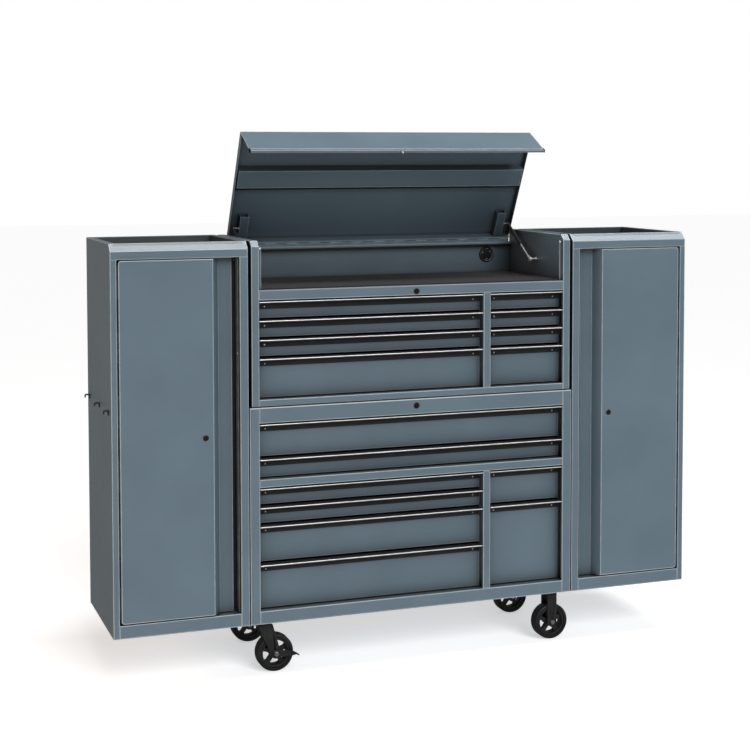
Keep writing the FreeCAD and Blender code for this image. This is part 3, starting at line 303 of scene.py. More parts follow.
cabinet_paint = powder_coat("cabinet_powder_coat", PAINT, recoloured=[*locker_tray_shade, ledge_lip, cab_rim_highlight])
front_paint = powder_coat(
    "front_powder_coat", shade(PAINT, 1.02), roughness=0.40, pale_edge_amount=0.95,
    recoloured=[*lock_recesses, *hinge_gap_shade],
)
# Painted shade: the lid's inside darkens towards near black over a long reach, most of all under its flange.
lid_paint = powder_coat("lid_powder_coat", shade(PAINT, 0.97), square=False, recess=0.4)
tray_paint = powder_coat("drawer_tray_powder_coat", shade(PAINT, 0.85), roughness=0.5)
hinge_enamel = enamel("lid_hinge_enamel", shade(PAINT, 0.8), roughness=0.42, grain=900.0, depth=0.0001)

EVEN = (1, 1, 1)
slide_steel = bare_metal("zinc_plated_steel", (0.62, 0.63, 0.64), roughness=0.34, stretch=(1, 0.02, 1))
hinge_steel = bare_metal("painted_hinge_steel", (0.13, 0.15, 0.165), roughness=0.45)
nose_metal = bare_metal("brushed_handle_nose", (0.72, 0.72, 0.71), roughness=0.42)
fastener_steel = bare_metal("fastener_steel", (0.60, 0.60, 0.61), roughness=0.28, stretch=EVEN)
bright_screw = bare_metal("bright_screw_steel", (0.90, 0.90, 0.89), roughness=0.38, stretch=EVEN)
rivet_steel = bare_metal("painted_rivet", (0.20, 0.25, 0.29), roughness=0.45, stretch=EVEN)
strut_chrome = bare_metal(
    "polished_rod", (0.92, 0.92, 0.92), roughness=0.34, stretch=(1, 1, 0.05), metallic=0.5
)

black_enamel = enamel("black_enamel", (0.014, 0.014, 0.015), roughness=0.28)
caster_black = enamel("caster_black_enamel", (0.013, 0.013, 0.014), roughness=0.26, grain=350.0)
grip_black = enamel("handle_grip_black", (0.012, 0.012, 0.0125), roughness=0.45, grain=700.0, depth=0.0001)
hub_black = enamel("moulded_hub_black", (0.012, 0.012, 0.013), roughness=0.34, grain=800.0, depth=0.0001)
strut_black = enamel("strut_gloss_black", (0.014, 0.014, 0.015), roughness=0.24, grain=1500.0, depth=0.00003)
plastic_black = enamel(
    "moulded_black_plastic", (0.004, 0.004, 0.004), roughness=0.5, grain=900.0, depth=0.0001, shine=0.2
)
lock_black = enamel("lock_black", (0.006, 0.006, 0.006), roughness=0.3, grain=900.0, depth=0.0001, shine=0.3)

mat_rubber = rubber("ribbed_mat_rubber", (0.0150, 0.0150, 0.0160), roughness=0.75)
tyre_rubber = rubber("tyre_rubber", (0.008, 0.008, 0.0085), roughness=0.5)
bulb_rubber = rubber("bulb_seal_rubber", (0.110, 0.118, 0.110))
# Black rubber for strips that stand in for shadow lines: the locker seals, the bead under the lid's stiffener
# and the strip between chest and cab.
black_shadow_rubber = rubber("black_shadow_rubber", (0.006, 0.006, 0.006))


# ---- mesh building blocks -----------------------------------------------------------------------------

SHARP = math.radians(38)


def add_box(bm, low, high):
    centre = [(a + b) / 2 for a, b in zip(low, high)]
    size = [b - a for a, b in zip(low, high)]
    place = Matrix.Translation(centre) @ Matrix.Diagonal((*size, 1.0))
    bmesh.ops.create_cube(bm, size=1.0, matrix=place)


def add_section(bm, outline, start, end):
    """A closed (y, z) outline swept along X."""
    near, far = ([bm.verts.new((x, y, z)) for y, z in outline] for x in (start, end))
    bm.faces.new(near)
    bm.faces.new(far[::-1])
    for i in range(len(outline)):
        j = (i + 1) % len(outline)
        bm.faces.new((near[j], near[i], far[i], far[j]))


def add_lathe(bm, origin, axis, profile, segments=32, closed=False):
    """A (radius, distance) profile turned about an axis.

    A radius of zero closes an end.  A closed profile joins its last point to its first, as a ring's does.
    """
    turn = Vector((0, 0, 1)).rotation_difference(Vector(axis).normalized()).to_matrix()
    rings = []
    for radius, distance in profile:
        points = [Vector((0, 0, distance))]
        if radius > 0:
            angles = [2 * math.pi * i / segments for i in range(segments)]
            points = [Vector((radius * math.cos(a), radius * math.sin(a), distance)) for a in angles]
        rings.append([bm.verts.new(Vector(origin) + turn @ point) for point in points])
    following = rings[1:] + rings[:1] if closed else rings[1:]
    for lower, upper in zip(rings, following):
        for i in range(segments):
            j = (i + 1) % segments
            corners = [lower[i % len(lower)], lower[j % len(lower)]]
            corners += [upper[j % len(upper)], upper[i % len(upper)]]
            bm.faces.new(list(dict.fromkeys(corners)))


def add_rod(bm, origin, axis, radius, length, segments=10):
    """A solid round bar that starts at the origin given."""
    profile = [(0.0, 0.0), (radius, 0.0), (radius, length), (0.0, length)]
    add_lathe(bm, origin, axis, profile, segments)


def add_screw(bm, place, axis, radius, height, segments=16):
    """A domed head with a sunk middle for the driver."""
    profile = [
        (radius, 0.0),
        (radius, height * 0.35),
        (radius * 0.85, height * 0.8),
        (radius * 0.5, height),
        (radius * 0.38, height * 0.95),
        (radius * 0.3, height * 0.45),
        (0.0, height * 0.4),
    ]
    add_lathe(bm, place, axis, profile, segments)


def arc(centre, radius, start, end, steps=5):
    """Points of an arc, by angles in degrees."""
    angles = [math.radians(start + (end - start) * i / steps) for i in range(steps + 1)]
    return [(centre[0] + radius * math.cos(a), centre[1] + radius * math.sin(a)) for a in angles]


def symmetric(side, middle=()):
    """A lathe profile that mirrors its first side in the plane through the origin."""
    return [*side, *middle, *((radius, -distance) for radius, distance in reversed(side))]


def soften(obj, width, segments=2, smooth=True):
    """Rounds the sharp edges.  Curved pieces are shaded smooth, boxes flat."""
    obj.data.polygons.foreach_set("use_smooth", [smooth] * len(obj.data.polygons))
    if width:
        bevel = obj.modifiers.new("rounded_edges", "BEVEL")
        bevel.width = width
        bevel.segments = segments
        bevel.limit_method = "ANGLE"
        bevel.angle_limit = SHARP
        bevel.harden_normals = smooth
    elif smooth:
        obj.data.set_sharp_from_angle(angle=SHARP)


def piece(name, bm, material, body, replaces=(), bevel=0.0, segments=2, smooth=True):
    """Turns a bmesh into an object with softened edges that rides on a body."""
    bmesh.ops.recalc_face_normals(bm, faces=bm.faces)
    mesh = bpy.data.meshes.new(name)
    bm.to_mesh(mesh)
    bm.free()
    mesh.materials.append(material)
    made = bpy.data.objects.new(name, mesh)
    bpy.context.scene.collection.objects.link(made)
    soften(made, bevel, segments, smooth)
    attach(made, body)
    if replaces:
        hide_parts(*replaces)


def dress(node, material, width=0.0, segments=2):
    """Gives a CAD node its finish and, where a width is given, soft edges.  Its mesh stays as it is."""
    obj = frame["nodes"][node]
    obj.data.materials.clear()
    obj.data.materials.append(material)
    if width:
        if "custom_normal" in obj.data.attributes:
            obj.data.attributes.remove(obj.data.attributes["custom_normal"])
        weld = obj.modifiers.new("weld", "WELD")
        weld.merge_threshold = 0.00001
        soften(obj, width, segments)


# ---- CAD nodes that keep their shape ------------------------------------------------------------------

def dress_cabinets():
    for node in ("roll_cab_shell", "top_chest_shell", "left_locker_shell", "right_locker_shell"):
        dress(node, cabinet_paint)
    dress("locker_shelves", cabinet_paint)
    for node in ("left_door", "right_door"):
        dress(node, front_paint)
    for node in ("lid_panel", "lid_stiffener", "lid_strut_brackets"):
        dress(node, lid_paint)


def dress_hardware():
    dress("door_hinge_fixed_leaves", hinge_steel)
    for node in ("lid_hinge_fixed_leaf", "lid_hinge_moving_leaf"):
        dress(node, hinge_enamel)
    for node in ("roll_cab_slide_rails", "top_chest_slide_rails"):
        dress(node, slide_steel, width=0.0004)
    dress("strut_lower_studs", bright_screw, width=0.0005)
    for node in ("joining_bolts", "caster_bolts", "rigid_axle_bolts"):
        dress(node, fastener_steel, width=0.0005)
    for end in ("front", "rear"):
        dress(f"{end}_swivel_fork", caster_black, width=0.0012, segments=3)
        dress(f"{end}_brake_pedal", caster_black, width=0.001, segments=3)
        dress(f"{end}_swivel_axle_bolt", fastener_steel, width=0.0006)
    dress("rigid_forks", caster_black, width=0.0012, segments=3)
    dress("caster_plates", caster_black, width=0.001)
    for side in ("left", "right"):
        dress(f"{side}_strut_cylinder", strut_black)
        dress(f"{side}_strut_rod", strut_chrome)
        dress(f"{side}_door_lock_plug", lock_black)
    for node in ("lock_housings", "top_chest_lock_plug", "roll_cab_lock_plug"):
        dress(node, lock_black)
    dress("side_hooks", black_enamel, width=0.0012, segments=3)


# ---- drawers ------------------------------------------------------------------------------------------

# The face stands behind the cabinets' front plane and stops short of the handle's top.
RECESS = 0.040
FACE_DROP = 0.004
SIDE_RETURN = 0.0045
FOOT_RETURN = 0.009

# The handle's section: heights are measured down from its top, depths back from the front plane.
HANDLE_DROP = 0.032
NOSE_TOP = 0.0010
NOSE_FOOT = 0.0066
SHELF_START = 0.003
SHELF_THICKNESS = 0.002
GRIP_WALL = 0.0025
GRIP_CURL = 0.0012
GRIP_COVE = 0.006
TOP_FLANGE = 0.004
SCREW_INSET = 0.030
SCREW_DROP = 0.0235

# The tray stands between the slides.
SIDE_GAP = 0.002
SLIDE_GAP = 0.013
TRAY_LIFT = 0.004
TRAY_DROP = 0.012
WALL_DROP = 0.001
RIM_RADIUS = 0.0018
RIM_INSET = 0.0012
RIB_RADIUS = 0.003
RIB_INSET = 0.03

RUNNER_START = 0.046
RUNNER_END = 0.496
RUNNER_HALF = 0.013
RUNNER_LIP = 0.008
RIVET_INSET = 0.03


def drawer_front(node, low, high):
    """The folded face: a sheet with short returns behind its sides and its foot."""
    bm = bmesh.new()
    face = FRONT + RECESS
    back = face + SHEET
    foot, top = low.z, high.z - FACE_DROP
    add_box(bm, (low.x, face, foot), (high.x, back, top))
    add_box(bm, (low.x, back, foot), (low.x + SHEET, face + SIDE_RETURN, top))
    add_box(bm, (high.x - SHEET, back, foot), (high.x, face + SIDE_RETURN, top))
    add_box(bm, (low.x + SHEET, back, foot), (high.x - SHEET, face + FOOT_RETURN, foot + SHEET))
    piece(
        node + "_front", bm, front_paint, BODY_OF[node],
        replaces=(node,), bevel=0.0006, smooth=False,
    )


def drawer_pull(node, low, high):
    """The full-width extrusion: dark shelf and grip wall behind, bright rolled nose in front."""
    top = high.z
    foot = top - HANDLE_DROP
    wall = FRONT + RECESS
    inner = wall - GRIP_WALL
    shelf = top - NOSE_TOP
    start = FRONT + SHELF_START
    under = shelf - SHELF_THICKNESS
    grip = [(start, shelf), (wall - TOP_FLANGE, shelf), (wall - TOP_FLANGE, top), (wall, top), (wall, foot)]
    grip += arc((inner + GRIP_CURL, foot), GRIP_CURL, 0, -180, 4)[1:]
    grip += arc((inner - GRIP_COVE, under - GRIP_COVE), GRIP_COVE, 0, 90, 6)
    grip += [(start, under)]
    bm = bmesh.new()
    add_section(bm, grip, low.x, high.x)
    piece(node + "_grip", bm, grip_black, BODY_OF[node])

    radius = (NOSE_FOOT - NOSE_TOP) / 2
    back = FRONT + radius + 0.0008
    nose = arc((FRONT + radius, shelf - radius), radius, 90, 270, 10)
    nose += [(back, top - NOSE_FOOT), (back, shelf)]
    bm = bmesh.new()
    add_section(bm, nose, low.x, high.x)
    piece(node + "_nose", bm, nose_metal, BODY_OF[node])

    bm = bmesh.new()
    for x in (low.x + SCREW_INSET, high.x - SCREW_INSET):
        add_screw(bm, (x, inner, top - SCREW_DROP), (0, -1, 0), radius=0.0032, height=0.0014)
    piece(node + "_handle_screws", bm, bright_screw, BODY_OF[node])


def drawer_tray(node, low, high):
    """The tray: a floor with three pressed ribs, and walls with rolled rims."""
    left, right = low.x - SIDE_GAP + SLIDE_GAP, high.x + SIDE_GAP - SLIDE_GAP
    front, back = FRONT + RECESS + SHEET, high.y
    floor_low, top = low.z + TRAY_LIFT, high.z - TRAY_DROP
    floor_high = floor_low + SHEET
    rim = top - RIM_RADIUS
    bm = bmesh.new()
    add_box(bm, (left, front, floor_low), (right, back, floor_high))
    for start, end in ((left, left + SHEET), (right - SHEET, right)):
        add_box(bm, (start, front, floor_high), (end, back - SHEET, top - WALL_DROP))
    add_box(bm, (left, back - SHEET, floor_high), (right, back, top - WALL_DROP))
    for x in (left + RIM_INSET, right - RIM_INSET):
        add_rod(bm, (x, front, rim), (0, 1, 0), RIM_RADIUS, back - front)
    add_rod(bm, (left, back - RIM_INSET, rim), (1, 0, 0), RIM_RADIUS, right - left)
    for quarter in (1, 2, 3):
        y = front + (back - front) / 4 * quarter
        rib = arc((y, floor_high - RIB_RADIUS / 2), RIB_RADIUS, 30, 150, 4)
        add_section(bm, rib, left + RIB_INSET, right - RIB_INSET)
    piece(node + "_tray", bm, tray_paint, BODY_OF[node], bevel=0.0003, smooth=False)


def drawer_runners(node, low, high):
    """The two inner slide members, each a channel with three rivets."""
    height = (low.z + TRAY_LIFT + high.z - TRAY_DROP) / 2
    start, end = FRONT + RUNNER_START, FRONT + RUNNER_END
    bm = bmesh.new()
    for x, facing in ((low.x - SIDE_GAP + SLIDE_GAP, -1), (high.x + SIDE_GAP - SLIDE_GAP, 1)):
        web = sorted((x, x + facing * SHEET))
        lip = sorted((x + facing * SHEET, x + facing * RUNNER_LIP))
        add_box(bm, (web[0], start, height - RUNNER_HALF), (web[1], end, height + RUNNER_HALF))
        for side in SIDES:
            edge = sorted((height + side * RUNNER_HALF, height + side * (RUNNER_HALF - SHEET)))
            add_box(bm, (lip[0], start, edge[0]), (lip[1], end, edge[1]))
        for y in (start + RIVET_INSET, (start + end) / 2, end - RIVET_INSET):
            place = (x + facing * SHEET, y, height)
            add_screw(bm, place, (facing, 0, 0), radius=0.004, height=0.0015, segments=14)
    piece(node + "_runners", bm, slide_steel, BODY_OF[node], bevel=0.0003)


def build_drawers():
    for node in sorted(n for n in frame["nodes"] if "_drawer_" in n):
        low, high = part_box(node)
        drawer_front(node, low, high)
        drawer_pull(node, low, high)
        drawer_tray(node, low, high)
        drawer_runners(node, low, high)


# ---- casters ------------------------------------------------------------------------------------------

TYRE_HALF = 0.025
TYRE_SHOULDER = 0.007
TREAD_GROOVE = 0.0012
GROOVE_CENTRES = (-0.008, 0.008)
HUB_SEAT = 0.060
RIM_HALF = 0.0225
RIM_INNER = 0.0515
SPOKES = 5
FIRST_SPOKE = 18
SPOKE_ROOT = 0.0155


def tyre_profile(radius):
    """The tyre's section: beads on the hub, rounded shoulders and two shallow tread grooves."""
    side = [(HUB_SEAT, 0.0035 - TYRE_HALF), (HUB_SEAT + 0.0025, -TYRE_HALF)]
    side += arc((radius - TYRE_SHOULDER, TYRE_SHOULDER - TYRE_HALF), TYRE_SHOULDER, -90, 0, 4)
    tread = []
    for centre in GROOVE_CENTRES:
        tread += [(radius, centre - 0.0014), (radius - TREAD_GROOVE, centre - 0.0008)]
        tread += [(radius - TREAD_GROOVE, centre + 0.0008), (radius, centre + 0.0014)]
    return symmetric(side, tread)


def rim_profile():
    """The ring that the tyre sits on, thicker at both sides."""
    side = [
        (HUB_SEAT, 0.002 - RIM_HALF), (HUB_SEAT - 0.0015, -RIM_HALF),
        (RIM_INNER + 0.002, -RIM_HALF), (RIM_INNER, 0.003 - RIM_HALF),
    ]
    return symmetric(side, [(RIM_INNER - 0.001, 0.0)])


def boss_profile():
    """The barrel round the axle, waisted towards its ends."""
    return symmetric(
        [(0.0062, -0.028), (0.0125, -0.028), (0.014, -0.0265), (0.0165, -0.018), (0.0175, -0.010)]
    )


def add_spoke(bm, centre, angle, inner, outer):
    """A spoke that widens to the rim and to the boss, thicker at the boss than at the rim."""
    # Distance from the axle, half width and half depth.
    stations = [
        (inner, 0.0095, 0.013),
        (inner + 0.008, 0.0075, 0.011),
        (outer - 0.010, 0.008, 0.0095),
        (outer, 0.0125, 0.0095),
    ]
    around = ((-1, -1), (1, -1), (1, 1), (-1, 1))
    turn = Matrix.Rotation(-angle, 3, "Y")
    rings = []
    for distance, half_width, half_depth in stations:
        corners = [Vector((distance, d * half_depth, w * half_width)) for w, d in around]
        rings.append([bm.verts.new(centre + turn @ corner) for corner in corners])
    bm.faces.new(rings[0])
    bm.faces.new(rings[-1][::-1])
    for lower, upper in zip(rings, rings[1:]):
        for i in range(4):
            j = (i + 1) % 4
            bm.faces.new((lower[i], upper[i], upper[j], lower[j]))


def wheel(node):
    low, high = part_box(node)
    centre = (low + high) / 2
    axle = (0, 1, 0)
    bm = bmesh.new()
    add_lathe(bm, centre, axle, tyre_profile((high.z - low.z) / 2), segments=72, closed=True)
    piece(node + "_tyre", bm, tyre_rubber, BODY_OF[node], replaces=(node,))

    bm = bmesh.new()
    add_lathe(bm, centre, axle, rim_profile(), segments=72, closed=True)
    add_lathe(bm, centre, axle, boss_profile(), segments=36, closed=True)
    for i in range(SPOKES):
        angle = math.radians(FIRST_SPOKE + 360 / SPOKES * i)
        add_spoke(bm, centre, angle, inner=SPOKE_ROOT, outer=RIM_INNER + 0.001)
    piece(node + "_hub", bm, hub_black, BODY_OF[node], bevel=0.0006)


def build_wheels():
    for end in ("front", "rear"):
        for side in ("left", "right"):
            wheel(f"{end}_{side}_wheel")


# ---- lid ----------------------------------------------------------------------------------------------

# Pieces of the lid are drawn closed, about the hinge axis, and then turned to where the open lid stands.
LID_AXIS = Vector((0.0, 0.242, 1.708))
LID_OPEN = 62
LID_HALF = 0.6575
LID_INSIDE = 0.0408
FLANGE_FOOT = -0.108
FLANGE_FACE = -0.513
STIFFENER_FOOT = -0.250
BEAD_INSET = 0.009

PULL_HEIGHT = 0.021
PULL_DEPTH = 0.010
PULL_CAP = 0.004
PULL_CORNER = 0.004
RIDGE_RADIUS = 0.0036
LOWER_RIDGE = 0.0052
UPPER_RIDGE = 0.0042
INLAY_INSET = 0.0076


def raise_lid(bm):
    turn = Matrix.Translation(LID_AXIS) @ Matrix.Rotation(math.radians(-LID_OPEN), 4, "X")
    bmesh.ops.transform(bm, matrix=turn, verts=bm.verts)


def build_pull():
    """The grip along the lid's front flange: two ridges, a black inlay in the groove, and black end caps."""
    top, low = FLANGE_FOOT, FLANGE_FOOT - PULL_HEIGHT
    face, back = FLANGE_FACE, FLANGE_FACE + PULL_DEPTH
    ridge_y, groove_y = face + 0.0006, face - 0.0008
    outline = [(back, top), (back, low + PULL_CORNER)]
    outline += arc((back - PULL_CORNER, low + PULL_CORNER), PULL_CORNER, 0, -90, 4)[1:]
    outline += arc((ridge_y, low + LOWER_RIDGE), RIDGE_RADIUS, 270, 130, 8)
    outline += [(groove_y, low + LOWER_RIDGE + RIDGE_RADIUS), (groove_y, top - UPPER_RIDGE - RIDGE_RADIUS)]
    outline += arc((ridge_y, top - UPPER_RIDGE), RIDGE_RADIUS, 230, 100, 8)
    outline += [(face + 0.001, top)]
    bm = bmesh.new()
    add_section(bm, outline, PULL_CAP - LID_HALF, LID_HALF - PULL_CAP)
    raise_lid(bm)
    piece("lid_pull_grip", bm, lid_paint, "lid", replaces=("lid_pull",))

    bm = bmesh.new()
    inlay_low = (PULL_CAP - LID_HALF, face - 0.0014, low + INLAY_INSET + 0.001)
    inlay_high = (LID_HALF - PULL_CAP, face + 0.0002, top - INLAY_INSET)
    add_box(bm, inlay_low, inlay_high)
    for start in (-LID_HALF, LID_HALF - PULL_CAP):
        add_box(bm, (start, face - 0.003, low), (start + PULL_CAP, back, top))
    raise_lid(bm)
    piece("lid_pull_trim", bm, plastic_black, "lid", bevel=0.0006)


def build_lid_fittings():
    """A black bead under the stiffener that stands in for the shadow below it, and the latch striker at the
    middle of the flange.
    """
    # A dark sheet put where the stiffener's shadow falls.
    bm = bmesh.new()
    half = LID_HALF - BEAD_INSET
    bead_low = (-half, STIFFENER_FOOT, LID_INSIDE - 0.0035)
    bead_high = (half, STIFFENER_FOOT + 0.010, LID_INSIDE)
    add_box(bm, bead_low, bead_high)
    raise_lid(bm)
    piece("lid_stiffener_shadow_bead", bm, black_shadow_rubber, "lid", bevel=0.0012, segments=3)

    bm = bmesh.new()
    place = (0.0, FLANGE_FACE + 0.0052, FLANGE_FOOT - PULL_HEIGHT)
    striker = [
        (0.0, 0.012), (0.0018, 0.012), (0.003, 0.0105), (0.003, 0.006),
        (0.0045, 0.005), (0.0045, 0.0), (0.0, 0.0),
    ]
    add_lathe(bm, place, (0, 0, -1), striker, segments=20)
    raise_lid(bm)
    piece("lid_latch_striker", bm, bright_screw, "lid")


# ---- locks and small fittings -------------------------------------------------------------------------

SEAL_THICKNESS = 0.0018
SEAL_RANGE = (UNDERSIDE + 0.056, UNDERSIDE + 1.468)
POST_SEAL_RANGE = (UNDERSIDE + 0.052, UNDERSIDE + 1.472)
STOP_BUMPER_Z = UNDERSIDE + 1.458
POST_BUMPER_Z = UNDERSIDE + 1.090
SHADOW_STRIP_HEIGHT = 0.0052

# The screws at the head of the compartment's corner posts.
HEM_SCREW_X = 0.659
HEM_SCREW_Y = FRONT + 0.014
HEM_SCREW_Z = UNDERSIDE + 1.501

# Heights above the underside, and columns, of the rivets in the back panels.
RIVET_SEAT = BACK - 0.0012
MIDDLE_RIVETS = ((0.06, 0.44, 0.83, 0.93, 1.30), (-0.66, -0.33, 0.0, 0.33, 0.66))
LOCKER_RIVETS = ((0.06, 0.52, 0.98, 1.46), (-1.23, -0.984, -0.738, 0.738, 0.984, 1.23))


def build_lock_faces():
    """The black collar round each cylinder lock."""
    collar = [
        (0.0068, 0.0), (0.0118, 0.0), (0.0118, 0.0012), (0.0108, 0.0024),
        (0.0086, 0.0025), (0.0076, 0.0017), (0.0068, 0.0015),
    ]
    for node, body, x in (
        ("top_chest_lock", "cabinet", 0.0),
        ("roll_cab_lock", "cabinet", 0.0),
        ("left_door_lock", "left_door_body", -DOOR_LOCK_X),
        ("right_door_lock", "right_door_body", DOOR_LOCK_X),
    ):
        low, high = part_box(node + "_plug")
        bm = bmesh.new()
        add_lathe(bm, (x, FRONT, (low.z + high.z) / 2), (0, -1, 0), collar, segments=40, closed=True)
        piece(node + "_collar", bm, lock_black, body)


def locker_strip(bm, side, x, y, z):
    """A strip on one locker, over ranges of distance from the middle, of depth behind the front, and of z."""
    left, right = sorted((side * x[0], side * x[1]))
    add_box(bm, (left, FRONT + y[0], z[0]), (right, FRONT + y[1], z[1]))


def build_locker_fittings():
    """On each locker: black rubber seals on the door stop and the post beside it, which also stand in for the
    shadow in the gaps there, a bulb seal and two bumpers.
    """
    edge = DOORWAY_EDGE
    for name, side in (("left", -1), ("right", 1)):
        bm = bmesh.new()
        # Black strips that stand in for the shadowed gaps beside the doorway.
        locker_strip(bm, side, (edge, edge + SEAL_THICKNESS), (0.003, 0.050), POST_SEAL_RANGE)
        locker_strip(bm, side, (edge + 0.0030, edge + 0.0180), (STOP_FACE - 0.0024, STOP_FACE), SEAL_RANGE)
        piece(f"{name}_locker_seal_and_shadow", bm, black_shadow_rubber, "cabinet", bevel=0.0005)

        bm = bmesh.new()
        locker_strip(bm, side, (edge + SEAL_THICKNESS, edge + 0.0052), (0.013, 0.047), SEAL_RANGE)
        piece(
            f"{name}_locker_bulb_seal", bm, bulb_rubber, "cabinet", bevel=0.0012, segments=3
        )

        bm = bmesh.new()
        on_stop = (side * (edge + 0.0090), FRONT + STOP_FACE - 0.0022, STOP_BUMPER_Z)
        on_post = (side * (edge + 0.0050), FRONT + 0.018, POST_BUMPER_Z)
        for place, axis in ((on_stop, (0, -1, 0)), (on_post, (side, 0, 0))):
            add_screw(bm, place, axis, radius=0.0034, height=0.0024)
        piece(f"{name}_locker_bumpers", bm, bright_screw, "cabinet")


def build_fixings():
    """Screws at the compartment's corner posts, rivets in the backs, and a black strip between chest and cab
    that stands in for the shadow in the seam.
    """
    bm = bmesh.new()
    for side in SIDES:
        place = (side * HEM_SCREW_X, HEM_SCREW_Y, HEM_SCREW_Z)
        add_screw(bm, place, (0, -1, 0), radius=0.0046, height=0.0018)
    piece("compartment_screws", bm, bright_screw, "cabinet")

    bm = bmesh.new()
    for heights, columns in (MIDDLE_RIVETS, LOCKER_RIVETS):
        for height in heights:
            for x in columns:
                place = (x, RIVET_SEAT, UNDERSIDE + height)
                add_screw(bm, place, (0, 1, 0), radius=0.0042, height=0.0012)
    piece("back_panel_rivets", bm, rivet_steel, "cabinet")

    # A dark strip put where the seam between chest and cab lies in shadow.
    bm = bmesh.new()
    foot = CHEST_LOW.z
    add_box(bm, (CHEST_LOW.x, FRONT - 0.0004, foot), (CHEST_HIGH.x, FRONT + 0.004, foot + SHADOW_STRIP_HEIGHT))
    piece("chest_base_shadow_strip", bm, black_shadow_rubber, "cabinet", bevel=0.0004)


# ---- top compartment ----------------------------------------------------------------------------------

MAT_PITCH = 0.004
MAT_RISE = 0.0008
PORT_BORE = 0.027
CAP_RADIUS = 0.0268
PORT_SCREWS = 0.020
BRISTLE_PITCH = 0.0032


def build_mat():
    """The rubber mat, with fine ribs running across it."""
    low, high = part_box("chest_mat")
    base = high.z - MAT_RISE
    count = int((high.y - low.y) / MAT_PITCH)
    step = (high.y - low.y) / count
    outline = [(low.y, low.z)]
    for i in range(count):
        y = low.y + i * step
        outline += [(y, base), (y + step * 0.2, high.z), (y + step * 0.6, high.z), (y + step * 0.8, base)]
    outline += [(high.y, base), (high.y, low.z)]
    bm = bmesh.new()
    add_section(bm, outline, low.x, high.x)
    piece("chest_mat_ribbed", bm, mat_rubber, "cabinet", replaces=("chest_mat",))


def build_grommet():
    """A cable port: a flanged ring with a bright edge and three screws, and a cap with a brush across it."""
    low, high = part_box("cable_grommet")
    centre = Vector(((low.x + high.x) / 2, high.y, (low.z + high.z) / 2))
    forward = (0, -1, 0)
    depth = high.y - low.y
    radius = (high.x - low.x) / 2
    flange = SHEET + 0.0006

    bright = bmesh.new()
    edge = [
        (0.0272, depth - 0.0012), (0.0285, depth - 0.0001),
        (0.0298, depth - 0.0012), (0.0285, depth - 0.0022),
    ]
    add_lathe(bright, centre, forward, edge, segments=48, closed=True)
    for x, z in arc((centre.x, centre.z), PORT_SCREWS, 35, 275, 2):
        add_screw(bright, (x, low.y + 0.0014, z), forward, radius=0.0028, height=0.0012)
    piece("cable_grommet_ring", bright, fastener_steel, "cabinet")

    black = bmesh.new()
    ring = [
        (PORT_BORE, 0.0), (0.0305, 0.0), (0.0305, flange), (radius, flange), (radius, depth - 0.0025),
        (radius - 0.0015, depth - 0.0012), (0.0295, depth - 0.0005), (PORT_BORE, depth - 0.0015),
    ]
    cap = [
        (0.0, 0.001), (CAP_RADIUS, 0.001), (CAP_RADIUS, depth - 0.002),
        (0.024, depth - 0.0014), (0.0, depth - 0.0014),
    ]
    add_lathe(black, centre, forward, ring, segments=48, closed=True)
    add_lathe(black, centre, forward, cap, segments=48)
    face = low.y + 0.0002
    for i in range(-5, 6):
        x = centre.x + i * BRISTLE_PITCH
        reach = 0.004 + 0.011 * math.cos(i / 5.5 * math.pi / 2)
        add_box(black, (x - 0.001, face, centre.z - reach), (x + 0.001, face + 0.0016, centre.z + reach))
    piece(
        "cable_grommet_port", black, plastic_black, "cabinet",
        replaces=("cable_grommet",), bevel=0.0002,
    )


# ---- studio -------------------------------------------------------------------------------------------

WHITE = (1.0, 1.0, 1.0, 1.0)
WARM = (1.0, 0.60, 0.36)
FLOOR_GLOW = 0.52
FLOOR_DROP = 0.0005
FILL_LIGHT = 0.15

LENS = 73.55
LENS_SHIFT = (0.0154, -0.182)
CAMERA_PLACE = (-2.288, -6.086, 2.0826)
CAMERA_YAW, CAMERA_PITCH, CAMERA_ROLL = -19.49, -3.11, -0.11


def floor():
    """A plain pale floor, wide enough to reach the horizon of the view."""
    bm = bmesh.new()
    bmesh.ops.create_grid(bm, x_segments=8, y_segments=8, size=40.0)
    mesh = bpy.data.meshes.new("studio_floor")
    bm.to_mesh(mesh)
    bm.free()
    glow = {"Emission_Color": WHITE, "Emission_Strength": FLOOR_GLOW}
    pale = Finish("pale_floor", Roughness=0.85, Specular_IOR_Level=0.1, **glow)
    pale.colour(pale.mix(pale.noise(scale=0.7, detail=3.0), (0.90, 0.90, 0.90), (0.93, 0.93, 0.93)))
    mesh.materials.append(pale.material)
    made = bpy.data.objects.new("studio_floor", mesh)
    bpy.context.scene.collection.objects.link(made)
    made.location.z = -FLOOR_DROP
    made.visible_glossy = False


def soft_light(name, place, target, size, power, colour=(1, 1, 1)):
    light = bpy.data.lights.new(name, "AREA")
    light.shape = "RECTANGLE"
    light.size, light.size_y = size
    light.energy = power
    light.color = colour
    made = bpy.data.objects.new(name, light)
    made.location = place
    made.rotation_euler = (Vector(target) - Vector(place)).to_track_quat("-Z", "Y").to_euler()
    bpy.context.scene.collection.objects.link(made)


def sun(name, towards, strength, spread):
    """A broad, even light from one direction."""
    light = bpy.data.lights.new(name, "SUN")
    light.energy = strength
    light.angle = math.radians(spread)
    light.specular_factor = 0.3
    made = bpy.data.objects.new(name, light)
    made.rotation_euler = Vector(towards).to_track_quat("Z", "Y").to_euler()
    bpy.context.scene.collection.objects.link(made)


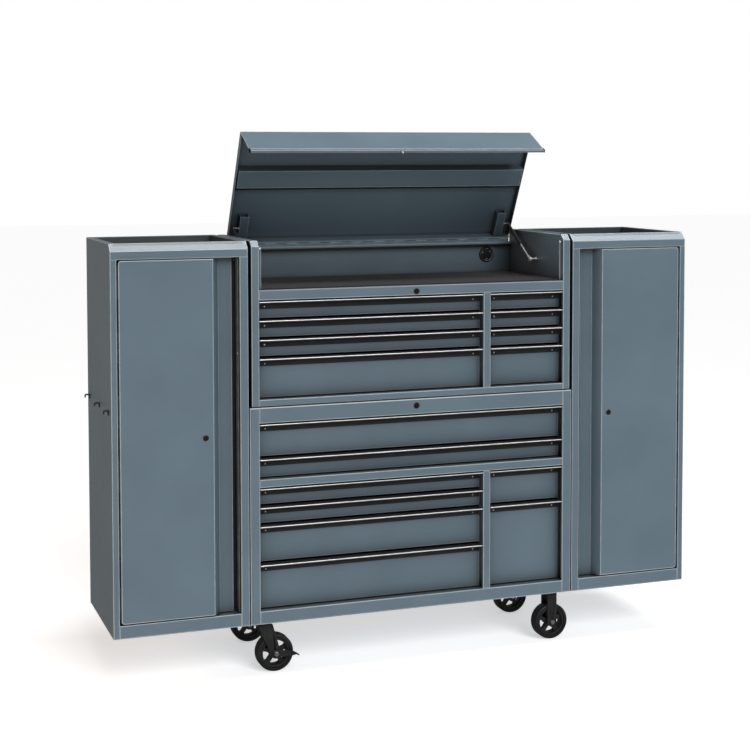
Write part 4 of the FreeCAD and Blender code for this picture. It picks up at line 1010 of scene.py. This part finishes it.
def surroundings():
    """A weak, even fill light.  The camera sees plain white."""
    world = bpy.data.worlds.new("studio")
    world.use_nodes = True
    tree = world.node_tree
    fill = tree.nodes["Background"]
    fill.inputs["Color"].default_value = WHITE
    fill.inputs["Strength"].default_value = FILL_LIGHT
    seen = tree.nodes.new("ShaderNodeBackground")
    seen.inputs["Color"].default_value = WHITE
    seen.inputs["Strength"].default_value = 1.0
    path = tree.nodes.new("ShaderNodeLightPath")
    mixed = tree.nodes.new("ShaderNodeMixShader")
    tree.links.new(path.outputs["Is Camera Ray"], mixed.inputs["Fac"])
    tree.links.new(fill.outputs["Background"], mixed.inputs[1])
    tree.links.new(seen.outputs["Background"], mixed.inputs[2])
    tree.links.new(mixed.outputs["Shader"], tree.nodes["World Output"].inputs["Surface"])
    bpy.context.scene.world = world


def studio():
    floor()
    sun("high_front", towards=(0.12, -0.83, 0.545), strength=2.0, spread=35)
    soft_light(
        "overhead_strip", place=(1.0, -0.42, 4.6), target=(1.0, -0.42, 0.0), size=(5.2, 0.7), power=115
    )
    soft_light(
        "warm_left", place=(-7.0, -0.5, 2.9), target=(-1.2, 0.0, 1.5), size=(2.0, 1.5), power=100, colour=WARM
    )
    surroundings()
    bpy.context.scene.view_settings.view_transform = "Standard"


def camera():
    lens = bpy.data.cameras.new("camera")
    lens.lens = LENS
    lens.sensor_width = 36.0
    lens.shift_x, lens.shift_y = LENS_SHIFT
    made = bpy.data.objects.new("camera", lens)
    made.matrix_world = (
        Matrix.Translation(CAMERA_PLACE)
        @ Matrix.Rotation(math.radians(CAMERA_YAW), 4, "Z")
        @ Matrix.Rotation(math.radians(90 + CAMERA_PITCH), 4, "X")
        @ Matrix.Rotation(math.radians(CAMERA_ROLL), 4, "Z")
    )
    bpy.context.scene.collection.objects.link(made)
    bpy.context.scene.camera = made


# ---- the whole chest ----------------------------------------------------------------------------------

dress_cabinets()
dress_hardware()
build_drawers()
build_wheels()
build_pull()
build_lid_fittings()
build_lock_faces()
build_locker_fittings()
build_fixings()
build_mat()
build_grommet()
studio()
camera()
